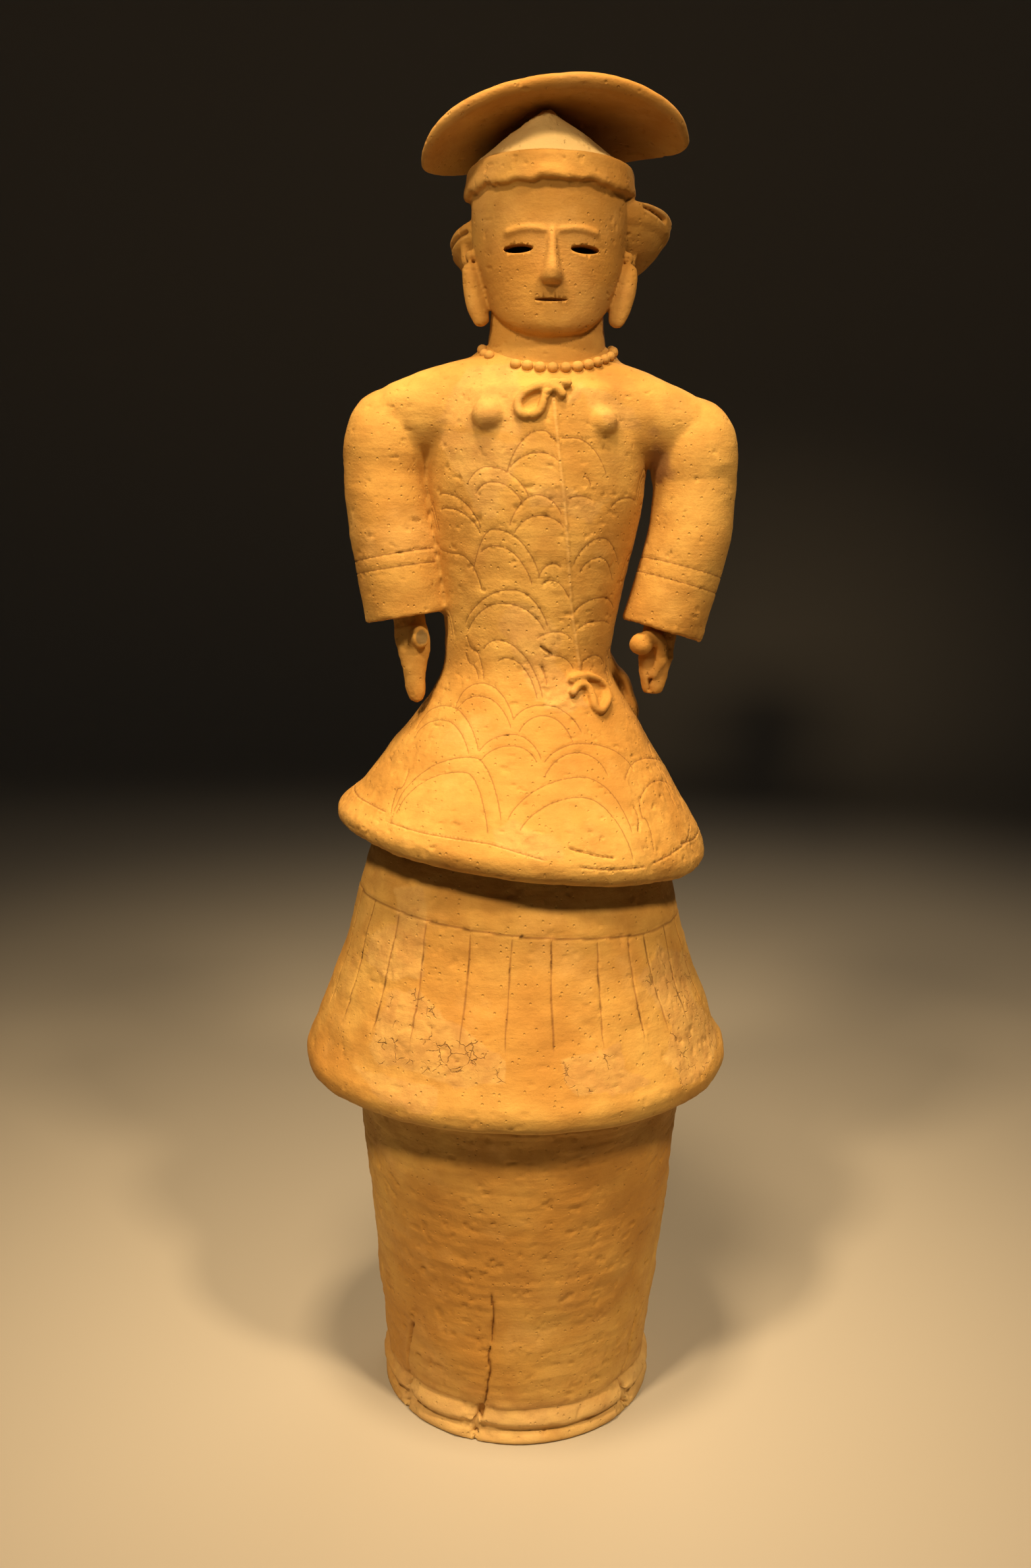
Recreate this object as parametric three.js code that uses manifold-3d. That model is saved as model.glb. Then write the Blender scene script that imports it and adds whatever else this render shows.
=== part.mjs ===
// Haniwa figure: a standing woman in a wave-patterned jacket and a pleated skirt,
// on the round pedestal that was set in the ground. One hollow piece of fired clay.
// Units are millimetres, +Z is up, the figure faces -Y and X runs to its left hand.

import * as THREE from 'three';
import * as BufferGeometryUtils from 'three/addons/utils/BufferGeometryUtils.js';
import Module from 'manifold-3d';

const wasm = await Module();
wasm.setup();

// ---------------------------------------------------------------- driving dimensions

// Pedestal: a tapering cylinder with a folded foot ring.
const FOOT_RADIUS = 139.5;
const FOOT_HEIGHT = 29;
const FOOT_GROOVE = 3;
const PEDESTAL_RADIUS_LOW = 136;
const PEDESTAL_RADIUS_HIGH = 169;
const PEDESTAL_TOP = 375;
const PEDESTAL_X = 4;

// Skirt: a bell with a thick rolled hem, a little flatter from front to back.
const SKIRT_HEM_RADIUS = 212;
const SKIRT_HEM_Z = 373;
const SKIRT_HEM_UNDERSIDE = 354;
const SKIRT_DEPTH_RATIO = 0.92;
const SKIRT_TOP_Z = 640;

// Jacket and body.
const JACKET_HEM_UNDERSIDE = 581;
const JACKET_TILT = 0.11;
const JACKET_TILT_END = 750;
const WAIST_Z = 766;

// Sleeves, one for each side of the middle plane x = SHOULDER_MIDDLE_X.
const SLEEVE_HALF_WIDTH = 39;
const SLEEVE_HALF_DEPTH = 42;
const CUFF_WALL = 8;
const CUFF_HOLLOW = 45;

// Head.
const NECK_RADIUS = 52;
const JAW_RISE = 22;
const HEAD_X = 22.5;
const BAND_HALF_WIDTH = 76;
const BAND_HALF_DEPTH = 78;
const BAND_HEIGHT = 28;
const BAND_Z = 1190;

// Hair board above the head, seen from above: a wide front lobe, a waist, a small back lobe.
const BOARD_HALF_WIDTH = 120;
const BOARD_X = 26;
const BOARD_Z = 1238;
const BOARD_THICKNESS = 13;
const BOARD_SAG = 22;
const BOARD_ROLL = 0.088;
const BOARD_PITCH = 0.22;

// Brim of back hair around the head.
const BRIM_HALF_WIDTH = 103;
const BRIM_HALF_DEPTH = 72;
const BRIM_BACK = 42;
const BRIM_Z = 1156;

// Face, on plain thirds: hairline to brow, brow to nose base, nose base to chin.
const HAIRLINE_Z = 1180;
const CHIN_Z = 1058;
const FACE_WIDTH = 140;

// Tongues that hang from the ears.
const PENDANT_HALF_WIDTH = 8.5;

// Necklace: a ring of beads that dips in front.
const BEAD_RING_SIDE = 61.5;
const BEAD_RING_FRONT = 67.5;
const BEAD_RING_BACK = 57;
const BEAD_COUNT = 36;
const BEAD_DIP = 0.32;

// Walls of the hollow.
const WALL = 15;

// Facets around the round parts.
const BODY_SIDES = 28;
const LIMB_SIDES = 12;
const HEAD_SIDES = 20;
const HOLLOW_SIDES = 12;
const CORD_SIDES = 6;

// ---------------------------------------------------------------- helpers

/** Turns a closed three.js geometry into a manifold solid. */
function toSolid(geometry) {
  const bare = geometry.clone();
  bare.deleteAttribute('normal');
  bare.deleteAttribute('uv');
  const merged = BufferGeometryUtils.mergeVertices(bare, 1e-3);
  const index = merged.index.array;
  const faces = [];
  for (let i = 0; i < index.length; i += 3) {
    const [a, b, c] = [index[i], index[i + 1], index[i + 2]];
    if (a !== b && b !== c && c !== a) {
      faces.push(a, b, c);
    }
  }
  const mesh = new wasm.Mesh({
    numProp: 3,
    vertProperties: new Float32Array(merged.attributes.position.array),
    triVerts: new Uint32Array(faces),
  });
  return new wasm.Manifold(mesh);
}

/** Turns a manifold solid back into a three.js geometry. */
function toGeometry(solid) {
  const mesh = solid.getMesh();
  const geometry = new THREE.BufferGeometry();
  geometry.setAttribute('position', new THREE.BufferAttribute(mesh.vertProperties, 3));
  geometry.setIndex(new THREE.BufferAttribute(mesh.triVerts, 1));
  geometry.computeVertexNormals();
  return geometry;
}

/** Smooth step from 0 at a to 1 at b. */
function ramp(a, b, t) {
  const s = THREE.MathUtils.clamp((t - a) / (b - a), 0, 1);
  return s * s * (3 - 2 * s);
}

/** A smooth function through stations [[t, value], ...] that never overshoots them. */
function through(stations) {
  const n = stations.length;
  const slope = [];
  for (let i = 0; i < n - 1; i += 1) {
    slope.push((stations[i + 1][1] - stations[i][1]) / (stations[i + 1][0] - stations[i][0]));
  }
  const tangent = stations.map((_, i) => {
    if (i === 0) {
      return slope[0];
    }
    if (i === n - 1) {
      return slope[n - 2];
    }
    const [a, b] = [slope[i - 1], slope[i]];
    return a * b <= 0 ? 0 : (2 * a * b) / (a + b);
  });
  return (t) => {
    if (t <= stations[0][0]) {
      return stations[0][1];
    }
    if (t >= stations[n - 1][0]) {
      return stations[n - 1][1];
    }
    let i = 0;
    while (t > stations[i + 1][0]) {
      i += 1;
    }
    const width = stations[i + 1][0] - stations[i][0];
    const s = (t - stations[i][0]) / width;
    const [s2, s3] = [s * s, s * s * s];
    return (2 * s3 - 3 * s2 + 1) * stations[i][1] + (s3 - 2 * s2 + s) * width * tangent[i]
      + (3 * s2 - 2 * s3) * stations[i + 1][1] + (s3 - s2) * width * tangent[i + 1];
  };
}

/** Turns a [radius, height] profile about the Z axis; it starts and ends on the axis. */
function turned(profile, sides) {
  const points = profile.map(([radius, height]) => new THREE.Vector2(radius, height));
  const geometry = new THREE.LatheGeometry(points, sides);
  geometry.rotateX(Math.PI / 2);
  return geometry;
}

/** Moves every vertex of a geometry by a function of its place. */
function reshaped(geometry, place) {
  const position = geometry.attributes.position;
  const point = new THREE.Vector3();
  for (let i = 0; i < position.count; i += 1) {
    point.fromBufferAttribute(position, i);
    place(point);
    position.setXYZ(i, point.x, point.y, point.z);
  }
  return geometry;
}

/** Even steps from a to b, both included. */
function steps(a, b, count) {
  return Array.from({ length: count + 1 }, (_, i) => a + ((b - a) * i) / count);
}

/** A stack of level ovals: half width, half depth and middle are functions of height. */
function stack(heights, sides, form) {
  const low = heights[0];
  const high = heights[heights.length - 1];
  const profile = [[0, low], ...heights.map((z) => [1, z]), [0, high]];
  return reshaped(turned(profile, sides), (p) => {
    const z = p.z;
    p.x = form.middle(z) + p.x * form.width(z);
    p.y = (form.back ? form.back(z) : 0) + p.y * form.depth(z);
  });
}

/** A ball stretched to the given half sizes and put at a place. */
function ball(halfX, halfY, halfZ, place, sides = 12, rings = 8) {
  const geometry = new THREE.SphereGeometry(1, sides, rings);
  geometry.rotateX(Math.PI / 2);
  geometry.scale(halfX, halfY, halfZ);
  geometry.translate(...place);
  return geometry;
}

/** A clay strand of round section along a smooth curve through the given points. */
function strand(points, radius, pieces, sides = CORD_SIDES) {
  const path = new THREE.CatmullRomCurve3(points.map((p) => new THREE.Vector3(...p)), false, 'centripetal');
  const section = new THREE.Shape();
  section.absarc(0, 0, radius, 0, 2 * Math.PI, false);
  return new THREE.ExtrudeGeometry(section, {
    extrudePath: path,
    steps: pieces,
    curveSegments: Math.ceil(sides / 2),
    bevelEnabled: false,
  });
}

/** Adds up a list of closed geometries. */
function joined(geometries) {
  let sum = toSolid(geometries[0]);
  for (const geometry of geometries.slice(1)) {
    sum = sum.add(toSolid(geometry));
  }
  return sum;
}

// ---------------------------------------------------------------- body forms

const skirtHalfWidth = through([
  [SKIRT_HEM_UNDERSIDE, 203], [360, 210], [SKIRT_HEM_Z, SKIRT_HEM_RADIUS], [387, 209],
  [400, 202.5], [414, 196], [440, 184.4], [480, 170], [521, 159], [560, 150], [SKIRT_TOP_Z, 128],
]);

const skirtForm = {
  width: skirtHalfWidth,
  depth: (z) => skirtHalfWidth(z) * SKIRT_DEPTH_RATIO,
  middle: through([[SKIRT_HEM_Z, 0], [400, -1], [450, -1], [560, 0], [SKIRT_TOP_Z, 4]]),
};

const bodyForm = {
  width: through([
    [JACKET_HEM_UNDERSIDE, 171], [586, 178], [597, 181], [609, 179.5], [624, 170], [639, 158],
    [652, 147], [680, 125.5], [707, 107], [735, 89.5], [752, 81], [WAIST_Z, 78.5], [790, 79.5],
    [820, 83], [850, 88], [884, 94.5], [922, 99], [955, 101], [985, 100], [1005, 95],
    [1022, 84], [1036, 72], [1046, 62], [1052, 54],
  ]),
  depth: through([
    [JACKET_HEM_UNDERSIDE, 158], [586, 163], [597, 166], [609, 165], [624, 157], [652, 137],
    [680, 118], [707, 101], [735, 85], [WAIST_Z, 75], [820, 77], [884, 81], [922, 82],
    [965, 80], [1000, 74], [1022, 68], [1036, 62], [1046, 56], [1052, 51],
  ]),
  middle: through([
    [600, 3.5], [609, 6], [624, 10], [652, 10], [680, 7.5], [WAIST_Z, 7.5], [790, 10], [850, 13.5], [922, 16],
    [1000, 15], [1030, 18], [1052, 21.5],
  ]),
};

const headForm = {
  width: through([
    [1052, 44], [1058, 50], [1066, 55], [1082, 59.5], [1100, 63.5], [1120, 67], [1145, 70],
    [1170, 71], [1200, 70.5], [1210, 66], [1222, 57], [1236, 46], [1246, 38],
  ]),
  depth: through([
    [1052, 46], [1058, 54], [1066, 59], [1082, 62], [1120, 67], [1170, 71], [1200, 72],
    [1210, 68], [1222, 60], [1236, 50], [1246, 42],
  ]),
  middle: through([[1052, HEAD_X], [1200, HEAD_X], [1246, 26]]),
};

/** Distance from the middle plane to the front of a form, at width x and height z. */
function frontOf(form, x, z) {
  const across = (x - form.middle(z)) / form.width(z);
  return -form.depth(z) * Math.sqrt(Math.max(0, 1 - across * across));
}

/** The hem plane of the jacket drops to the figure's left; the drop fades out at the waist. */
function jacketDrop(x, z) {
  return -JACKET_TILT * x * (1 - ramp(JACKET_HEM_UNDERSIDE + 30, JACKET_TILT_END, z));
}

function pedestal() {
  const groove = FOOT_HEIGHT * 0.45;
  const geometry = turned([
    [0, 0], [FOOT_RADIUS - 2, 0], [FOOT_RADIUS, 3], [FOOT_RADIUS - FOOT_GROOVE, groove],
    [FOOT_RADIUS, FOOT_HEIGHT - 6], [PEDESTAL_RADIUS_LOW, FOOT_HEIGHT + 1],
    [PEDESTAL_RADIUS_HIGH, PEDESTAL_TOP], [0, PEDESTAL_TOP],
  ], BODY_SIDES);
  geometry.translate(PEDESTAL_X, 0, 0);
  return geometry;
}

function skirt() {
  const heights = [SKIRT_HEM_UNDERSIDE, 361, SKIRT_HEM_Z, 387, 402, 430, 470, 520, SKIRT_TOP_Z];
  return stack(heights, BODY_SIDES, skirtForm);
}

function jacket() {
  const hem = [JACKET_HEM_UNDERSIDE, 587, 598, 609, 624];
  const flare = [639, 656, 680, 710, 741];
  const trunk = [WAIST_Z, 800, 845, 890, 930, 970, 1000];
  const top = [1018, 1034, 1046, 1052];
  const geometry = stack([...hem, ...flare, ...trunk, ...top], BODY_SIDES, bodyForm);
  return reshaped(geometry, (p) => {
    p.z += jacketDrop(p.x, p.z);
  });
}

// ---------------------------------------------------------------- sleeves and hands

// The two arms: places of the centre line of each sleeve from the shoulder to the cuff.
const ARMS = [
  {
    line: [[-125, 0, 968], [-128, -3, 935], [-124.5, -8, 895], [-117, -12, 850], [-109, -16, 801]],
    shoulder: [-127, 0, 953],
    shoulderSize: [40.5, 48, 58],
  },
  {
    line: [[160, 0, 962], [163, -3, 925], [160, -8, 890], [150.5, -12, 848], [134.5, -16, 791]],
    shoulder: [162, 0, 947],
    shoulderSize: [41, 48, 60],
  },
];

/** Bends a shape built along Z (0 at the start, 1 at the end) along a line of points. */
function bentAlong(geometry, line) {
  const path = new THREE.CatmullRomCurve3(line.map((p) => new THREE.Vector3(...p)));
  return reshaped(geometry, (p) => {
    const t = THREE.MathUtils.clamp(p.z, 0, 1);
    const place = path.getPointAt(t);
    const along = path.getTangentAt(t);
    const front = new THREE.Vector3(0, -1, 0);
    const side = new THREE.Vector3().crossVectors(front, along).normalize();
    const ahead = new THREE.Vector3().crossVectors(along, side).normalize();
    p.copy(place.addScaledVector(side, p.x).addScaledVector(ahead, p.y));
  });
}

function sleeve(arm) {
  const shoulderBall = ball(...arm.shoulderSize, arm.shoulder, LIMB_SIDES, 8);
  const profile = [[0, 0], ...steps(0, 1, 6).map((t) => [1, t]), [0, 1]];
  const tube = reshaped(turned(profile, LIMB_SIDES), (p) => {
    const swell = 1 + 0.1 * Math.sin(Math.PI * p.z) - 0.03 * p.z;
    p.x *= SLEEVE_HALF_WIDTH * (p.z > 0 ? 1 : 0.9);
    p.y *= SLEEVE_HALF_DEPTH * swell * (p.z > 0 ? 1 : 0.9);
  });
  return joined([shoulderBall, bentAlong(tube, arm.line)]);
}

/** The open end of a sleeve, cut around the wrist. */
function cuffHollow(arm) {
  const path = new THREE.CatmullRomCurve3(arm.line.map((p) => new THREE.Vector3(...p)));
  const end = path.getPointAt(1);
  const along = path.getTangentAt(1);
  const start = end.clone().addScaledVector(along, -CUFF_HOLLOW);
  const stop = end.clone().addScaledVector(along, 5);
  const profile = [[0, 0], [0.6, 0], [1, 0.35], [1.02, 1], [0, 1]];
  const plug = reshaped(turned(profile, LIMB_SIDES), (p) => {
    p.x *= SLEEVE_HALF_WIDTH - CUFF_WALL;
    p.y *= SLEEVE_HALF_DEPTH - CUFF_WALL;
  });
  return toSolid(bentAlong(plug, [start.toArray(), stop.toArray()]));
}

/** The shoulder beam that carries both sleeves across the top of the body. */
function shoulders() {
  const [left, right] = [ARMS[0].shoulder, ARMS[1].shoulder];
  const middle = (left[0] + right[0]) / 2;
  const half = (right[0] - left[0]) / 2;
  const profile = [[0, -1], ...steps(-1, 1, 6).map((t) => [1, t]), [0, 1]];
  return reshaped(turned(profile, LIMB_SIDES), (p) => {
    const t = p.z;
    const inner = 1 - t * t;
    const top = 57 + 36 * inner;
    const depth = 45 + 6 * inner;
    const across = p.x;
    const up = p.y;
    p.x = middle + half * t;
    p.y = across * depth;
    p.z = 953 - 3 * t + (up > 0 ? up * top : up * 18);
  });
}

/** A hand of the figure's right side: a flat mitten with the stump of a broken thumb. */
function rightHand() {
  const line = [[-114, -14, 868], [-108, -19, 800], [-102, -25, 764], [-98, -28, 721]];
  const profile = [[0, 0], [1, 0.02], [1, 0.45], [1.05, 0.68], [0.8, 0.88], [0.45, 0.985], [0, 1]];
  const palm = reshaped(turned(profile, 10), (p) => {
    p.x *= 15.5;
    p.y *= 11;
  });
  const thumb = strand([[-101, -24, 786], [-93, -38, 777]], 8.5, 1, 8);
  return joined([bentAlong(palm, line), thumb]);
}

/** The hand of the figure's left side: shorter, with a ball for the thumb. */
function leftHand() {
  const line = [[148, -13, 858], [133, -18, 795], [128, -25, 762], [126.5, -28, 727]];
  const profile = [[0, 0], [1, 0.02], [1, 0.45], [1.08, 0.7], [1, 0.9], [0.6, 0.99], [0, 1]];
  const palm = reshaped(turned(profile, 10), (p) => {
    p.x *= 16;
    p.y *= 11;
  });
  const thumb = ball(10.5, 10.5, 9.5, [114, -36, 775], 8, 5);
  const root = strand([[124, -22, 783], [114, -36, 775]], 7, 1, 6);
  return joined([bentAlong(palm, line), thumb, root]);
}

// ---------------------------------------------------------------- head

function neck() {
  const profile = [[0, 1030], [NECK_RADIUS + 5, 1030], [NECK_RADIUS, 1048], [NECK_RADIUS - 1, 1095], [0, 1095]];
  const geometry = turned(profile, HEAD_SIDES);
  geometry.translate(HEAD_X - 1, 0, 0);
  return geometry;
}

/** The head: its underside rises from the chin to the ears. */
function head() {
  const heights = [1052, 1058, 1067, 1084, 1112, 1150, 1200, 1213, 1229, 1244];
  return reshaped(stack(heights, HEAD_SIDES, headForm), (p) => {
    const backward = ramp(-60, 5, p.y);
    const low = 1 - ramp(1052, 1130, p.z);
    p.z += JAW_RISE * backward * low;
  });
}

/** The band around the head: its lower edge rises over the brow. */
function headband() {
  const half = BAND_HEIGHT / 2;
  const profile = [[0, -half], [0.97, -half], [1, 3 - half], [1, half - 6], [0.96, half], [0, half]];
  return reshaped(turned(profile, HEAD_SIDES), (p) => {
    const brow = ramp(-0.2, 1, -p.y);
    p.z = BAND_Z - 4 + p.z + 7 * brow;
    p.x = HEAD_X + p.x * BAND_HALF_WIDTH;
    p.y *= BAND_HALF_DEPTH;
  });
}

/** Plan of the hair board: front lobe, waist and a smaller back lobe. */
function boardPlan() {
  const plan = new THREE.Shape();
  plan.moveTo(0, -92);
  plan.bezierCurveTo(60, -94, BOARD_HALF_WIDTH - 8, -68, BOARD_HALF_WIDTH, -8);
  plan.bezierCurveTo(BOARD_HALF_WIDTH + 2, 18, 84, 40, 62, 58);
  plan.bezierCurveTo(60, 76, 78, 88, 74, 108);
  plan.bezierCurveTo(68, 128, 28, 132, 0, 132);
  plan.bezierCurveTo(-28, 132, -68, 128, -74, 108);
  plan.bezierCurveTo(-78, 88, -60, 76, -62, 58);
  plan.bezierCurveTo(-84, 44, -BOARD_HALF_WIDTH - 2, 22, -BOARD_HALF_WIDTH, -8);
  plan.bezierCurveTo(-BOARD_HALF_WIDTH + 4, -80, -66, -96, 0, -92);
  return plan;
}

/** The hair board: the plan as a slab with round edges, arched, rolled and pitched. */
function hairBoard() {
  const outline = boardPlan().getPoints(5);
  outline.pop();
  const half = BOARD_THICKNESS / 2;
  const layers = [[0.93, -half], [0.99, -half * 0.55], [0.99, half * 0.55], [0.93, half]];
  const grid = [0.6];
  const rows = [...grid.map((s) => [s, -half]), ...layers, ...grid.map((s) => [s, half])];
  const positions = [];
  for (const [scale, height] of rows) {
    for (const point of outline) {
      positions.push(point.x * scale, point.y * scale, height);
    }
  }
  const n = outline.length;
  positions.push(0, 0, -half, 0, 0, half);
  const bottom = rows.length * n;
  const faces = [];
  for (let j = 0; j < n; j += 1) {
    const k = (j + 1) % n;
    faces.push(bottom, k, j);
    for (let i = 0; i < rows.length - 1; i += 1) {
      const [a, b, c, d] = [i * n + j, i * n + k, (i + 1) * n + k, (i + 1) * n + j];
      faces.push(a, b, c, a, c, d);
    }
    faces.push((rows.length - 1) * n + j, (rows.length - 1) * n + k, bottom + 1);
  }
  const geometry = new THREE.BufferGeometry();
  geometry.setAttribute('position', new THREE.Float32BufferAttribute(positions, 3));
  geometry.setIndex(faces);
  return reshaped(geometry, (p) => {
    const side = p.x / BOARD_HALF_WIDTH;
    const rise = BOARD_ROLL * p.x - BOARD_PITCH * p.y - BOARD_SAG * side * side;
    p.x += BOARD_X;
    p.z += BOARD_Z + rise;
  });
}

/** The brim of back hair that runs around the back of the head at the height of the ears. */
function backHair() {
  const profile = [
    [0, -48], [0.6, -46], [0.8, -34], [0.97, -11], [1, -2], [0.94, 5], [0, 6],
  ];
  const brim = reshaped(turned(profile, HEAD_SIDES), (p) => {
    p.x *= BRIM_HALF_WIDTH;
    p.y *= BRIM_HALF_DEPTH;
    p.z += BRIM_Z + BOARD_ROLL * p.x;
    p.x += BOARD_X + 5;
    p.y += BRIM_BACK;
  });
  return toSolid(brim);
}

function ear(side) {
  const x = HEAD_X + side * 71;
  const rim = strand([[x, 8, 1142], [x + side * 5, 12, 1134], [x + side * 4, 6, 1124], [x, -2, 1121]], 3.5, 4, 5);
  const drop = ball(5, 6, 5, [x + side, -6, 1127], 6, 4);
  return [rim, drop];
}

/** A flat tongue that hangs from the ear along the jaw. */
function pendant(side) {
  const profile = [[0, -29], [0.6, -26], [1, -5], [1, 14], [0.6, 27], [0, 29]];
  return reshaped(turned(profile, 8), (p) => {
    const x = p.x * PENDANT_HALF_WIDTH;
    const z = p.z;
    p.y = -12 + p.y * 7;
    p.x = HEAD_X + side * (67 + 0.24 * z) + x;
    p.z = 1096 + z;
  });
}

// ---------------------------------------------------------------- face

/** The face: a wedge nose and low brow ridges laid on the front of the head. */
function faceRelief() {
  const third = (HAIRLINE_Z - CHIN_Z) / 3;
  const browZ = HAIRLINE_Z - third;
  const noseBaseZ = browZ - third;
  const front = (x, z) => frontOf(headForm, HEAD_X + x, z);
  const profile = [[0, 0], [0.85, 0], [1, 0.14], [0.32, 1], [0, 1]];
  const nose = reshaped(turned(profile, 8), (p) => {
    p.x = HEAD_X + p.x * 11;
    p.z = noseBaseZ + p.z * (third + 2);
    p.y = front(0, p.z) - 2 + p.y * (p.y < 0 ? 17 : 5);
  });
  const brows = [-1, 1].map((side) => {
    const reach = FACE_WIDTH * 0.29;
    const points = [0.1, 0.4, 0.7, 1].map((t) => {
      const x = side * reach * t;
      const z = browZ + 2 - 7 * t * t;
      return [HEAD_X + x, front(x, z) + 1.5, z];
    });
    return strand(points, 3.6, 4, 6);
  });
  return joined([nose, ...brows]);
}

/** Eye slits cut through to the hollow head, and the slit of the mouth. */
function faceOpenings() {
  const third = (HAIRLINE_Z - CHIN_Z) / 3;
  const eyeZ = HAIRLINE_Z - third - 12;
  const mouthZ = CHIN_Z + (third * 2) / 3;
  const eyeHalf = FACE_WIDTH / 10;
  const eyes = [-1, 1].map((side) => {
    const x = HEAD_X + side * eyeHalf * 2.1;
    return ball(eyeHalf - 1, 40, 3.6, [x, frontOf(headForm, x, eyeZ), eyeZ], 8, 4);
  });
  const mouthFront = frontOf(headForm, HEAD_X, mouthZ);
  const mouth = ball(15, 9, 1.6, [HEAD_X, mouthFront, mouthZ], 8, 4);
  return joined([...eyes, mouth]);
}

// ---------------------------------------------------------------- laid-on clay

/** Places [x, z] points on the front of the body, proud of it by lift. */
function onBody(points, lift) {
  return points.map(([x, z]) => [x, frontOf(bodyForm, x, z) - lift, z]);
}

/** Tie of the jacket at the chest: an upper and a lower strand of a worn loop. */
function chestTie() {
  const upper = [[42, 1014], [31, 1014], [17, 1012], [5, 1008], [-6, 1000]];
  const lower = [[-6, 990], [4, 985], [14, 991], [19, 1004], [25, 1010], [35, 1001]];
  return [strand(onBody(upper, 2), 3.4, 5), strand(onBody(lower, 3), 3.4, 7)];
}

/** Tie of the jacket at the waist: a loop with two short ends. */
function waistTie() {
  const loop = [
    [45, 749], [55, 753], [67, 751], [77, 743], [80, 731], [75, 723], [68, 731], [62, 741], [55, 746],
    [47, 740],
  ];
  return strand(onBody(loop, 3), 3.2, 13);
}

/** The closing edge of the jacket, a fine ridge down the front. */
function seam() {
  const line = [[25.5, 998], [30.5, 957], [36.5, 909], [40.5, 866], [44, 826], [48.5, 793], [54, 759]];
  return strand(onBody(line, -0.6), 2, 7, 4);
}

function breasts() {
  return [
    ball(14, 13, 14, [-32, frontOf(bodyForm, -32, 987) + 2, 987], 10, 6),
    ball(13, 11, 12, [71, frontOf(bodyForm, 71, 981) + 3, 981], 10, 6),
  ];
}

/** The flap at the figure's left hip: a narrow plate that stands off the body. */
function hipFlap() {
  const path = new THREE.CatmullRomCurve3([
    new THREE.Vector3(78, 2, 768),
    new THREE.Vector3(91, 4, 744),
    new THREE.Vector3(104, 6, 730),
    new THREE.Vector3(113, 6, 704),
    new THREE.Vector3(111, 6, 690),
  ]);
  const section = new THREE.Shape();
  section.absellipse(0, 0, 5, 12, 0, 2 * Math.PI, false, 0);
  return new THREE.ExtrudeGeometry(section, { extrudePath: path, steps: 5, curveSegments: 4, bevelEnabled: false });
}

/** The necklace: one bead after another around the foot of the neck, three of them lost. */
function necklace() {
  const beads = [];
  for (let i = 0; i < BEAD_COUNT; i += 1) {
    const turn = (2 * Math.PI * i) / BEAD_COUNT;
    const lost = turn > 3.62 && turn < 4.1;
    if (!lost) {
      const forward = Math.min(Math.sin(turn), 0);
      const y = forward < 0 ? BEAD_RING_FRONT * forward : BEAD_RING_BACK * Math.sin(turn);
      const bead = ball(4.8, 5.7, 5, [0, 0, 0], 5, 3);
      bead.rotateZ(turn);
      bead.translate(HEAD_X + BEAD_RING_SIDE * Math.cos(turn), y, 1047 + BEAD_DIP * BEAD_RING_FRONT * forward);
      beads.push(bead);
    }
  }
  return joined(beads);
}

// ---------------------------------------------------------------- hollow and breaks

/** The hollow of the figure, open below: pedestal, skirt, body, neck and head in one run. */
function hollow() {
  const shaft = turned([
    [0, -1], [FOOT_RADIUS - WALL, -1], [FOOT_RADIUS - WALL, 20], [PEDESTAL_RADIUS_HIGH - WALL - 2, 345],
    [176, 372], [182, 388], [0, 388],
  ], HOLLOW_SIDES);
  shaft.translate(PEDESTAL_X, 0, 0);
  const skirtHollow = stack([380, 400, 440, 500, 600], HOLLOW_SIDES, {
    width: (z) => skirtForm.width(z) - WALL - 10 * ramp(440, 390, z),
    depth: (z) => skirtForm.depth(z) - WALL - 6 * ramp(440, 390, z),
    middle: skirtForm.middle,
  });
  const innerWidth = through([
    [585, 122], [603, 144], [620, 146], [640, 136], [680, 106], [707, 89], [735, 73], [WAIST_Z, 62.5],
    [820, 67], [884, 78], [955, 85], [990, 83], [1012, 70], [1030, 45], [1044, 36], [1080, 36],
    [1100, 47], [1130, 54], [1170, 56], [1200, 54], [1220, 40], [1234, 20],
  ]);
  const innerDepth = through([
    [585, 112], [603, 130], [620, 132], [640, 124], [680, 100], [707, 84], [735, 69], [WAIST_Z, 59.5],
    [820, 61], [884, 65], [955, 64], [990, 60], [1012, 52], [1030, 40], [1044, 35], [1080, 36],
    [1100, 46], [1130, 52], [1170, 56], [1200, 56], [1220, 42], [1234, 22],
  ]);
  const heights = [
    585, 603, 620, 645, 690, 735, WAIST_Z, 830, 920, 985, 1012, 1044, 1080, 1105, 1165, 1205, 1234,
  ];
  const upper = stack(heights, HOLLOW_SIDES, {
    width: innerWidth,
    depth: innerDepth,
    middle: through([[585, 0], [620, 5], [680, 7.5], [WAIST_Z, 7.5], [922, 16], [1044, 21], [1234, 24]]),
  });
  reshaped(upper, (p) => {
    p.z += jacketDrop(p.x, p.z) * ramp(590, 610, p.z);
  });
  return joined([shaft, skirtHollow, upper]);
}

/** Open cracks through the foot ring. */
function footCracks() {
  return [-0.31, -0.93, 0.72].map((turn, i) => {
    const width = i === 0 ? 5 : 3.5;
    const crack = new THREE.BoxGeometry(width, 14, 60);
    crack.rotateY(0.08 - 0.1 * i);
    crack.translate(0, -FOOT_RADIUS, 10);
    crack.rotateZ(turn);
    crack.translate(PEDESTAL_X, 0, 0);
    return crack;
  });
}

// ---------------------------------------------------------------- the whole figure

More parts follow.
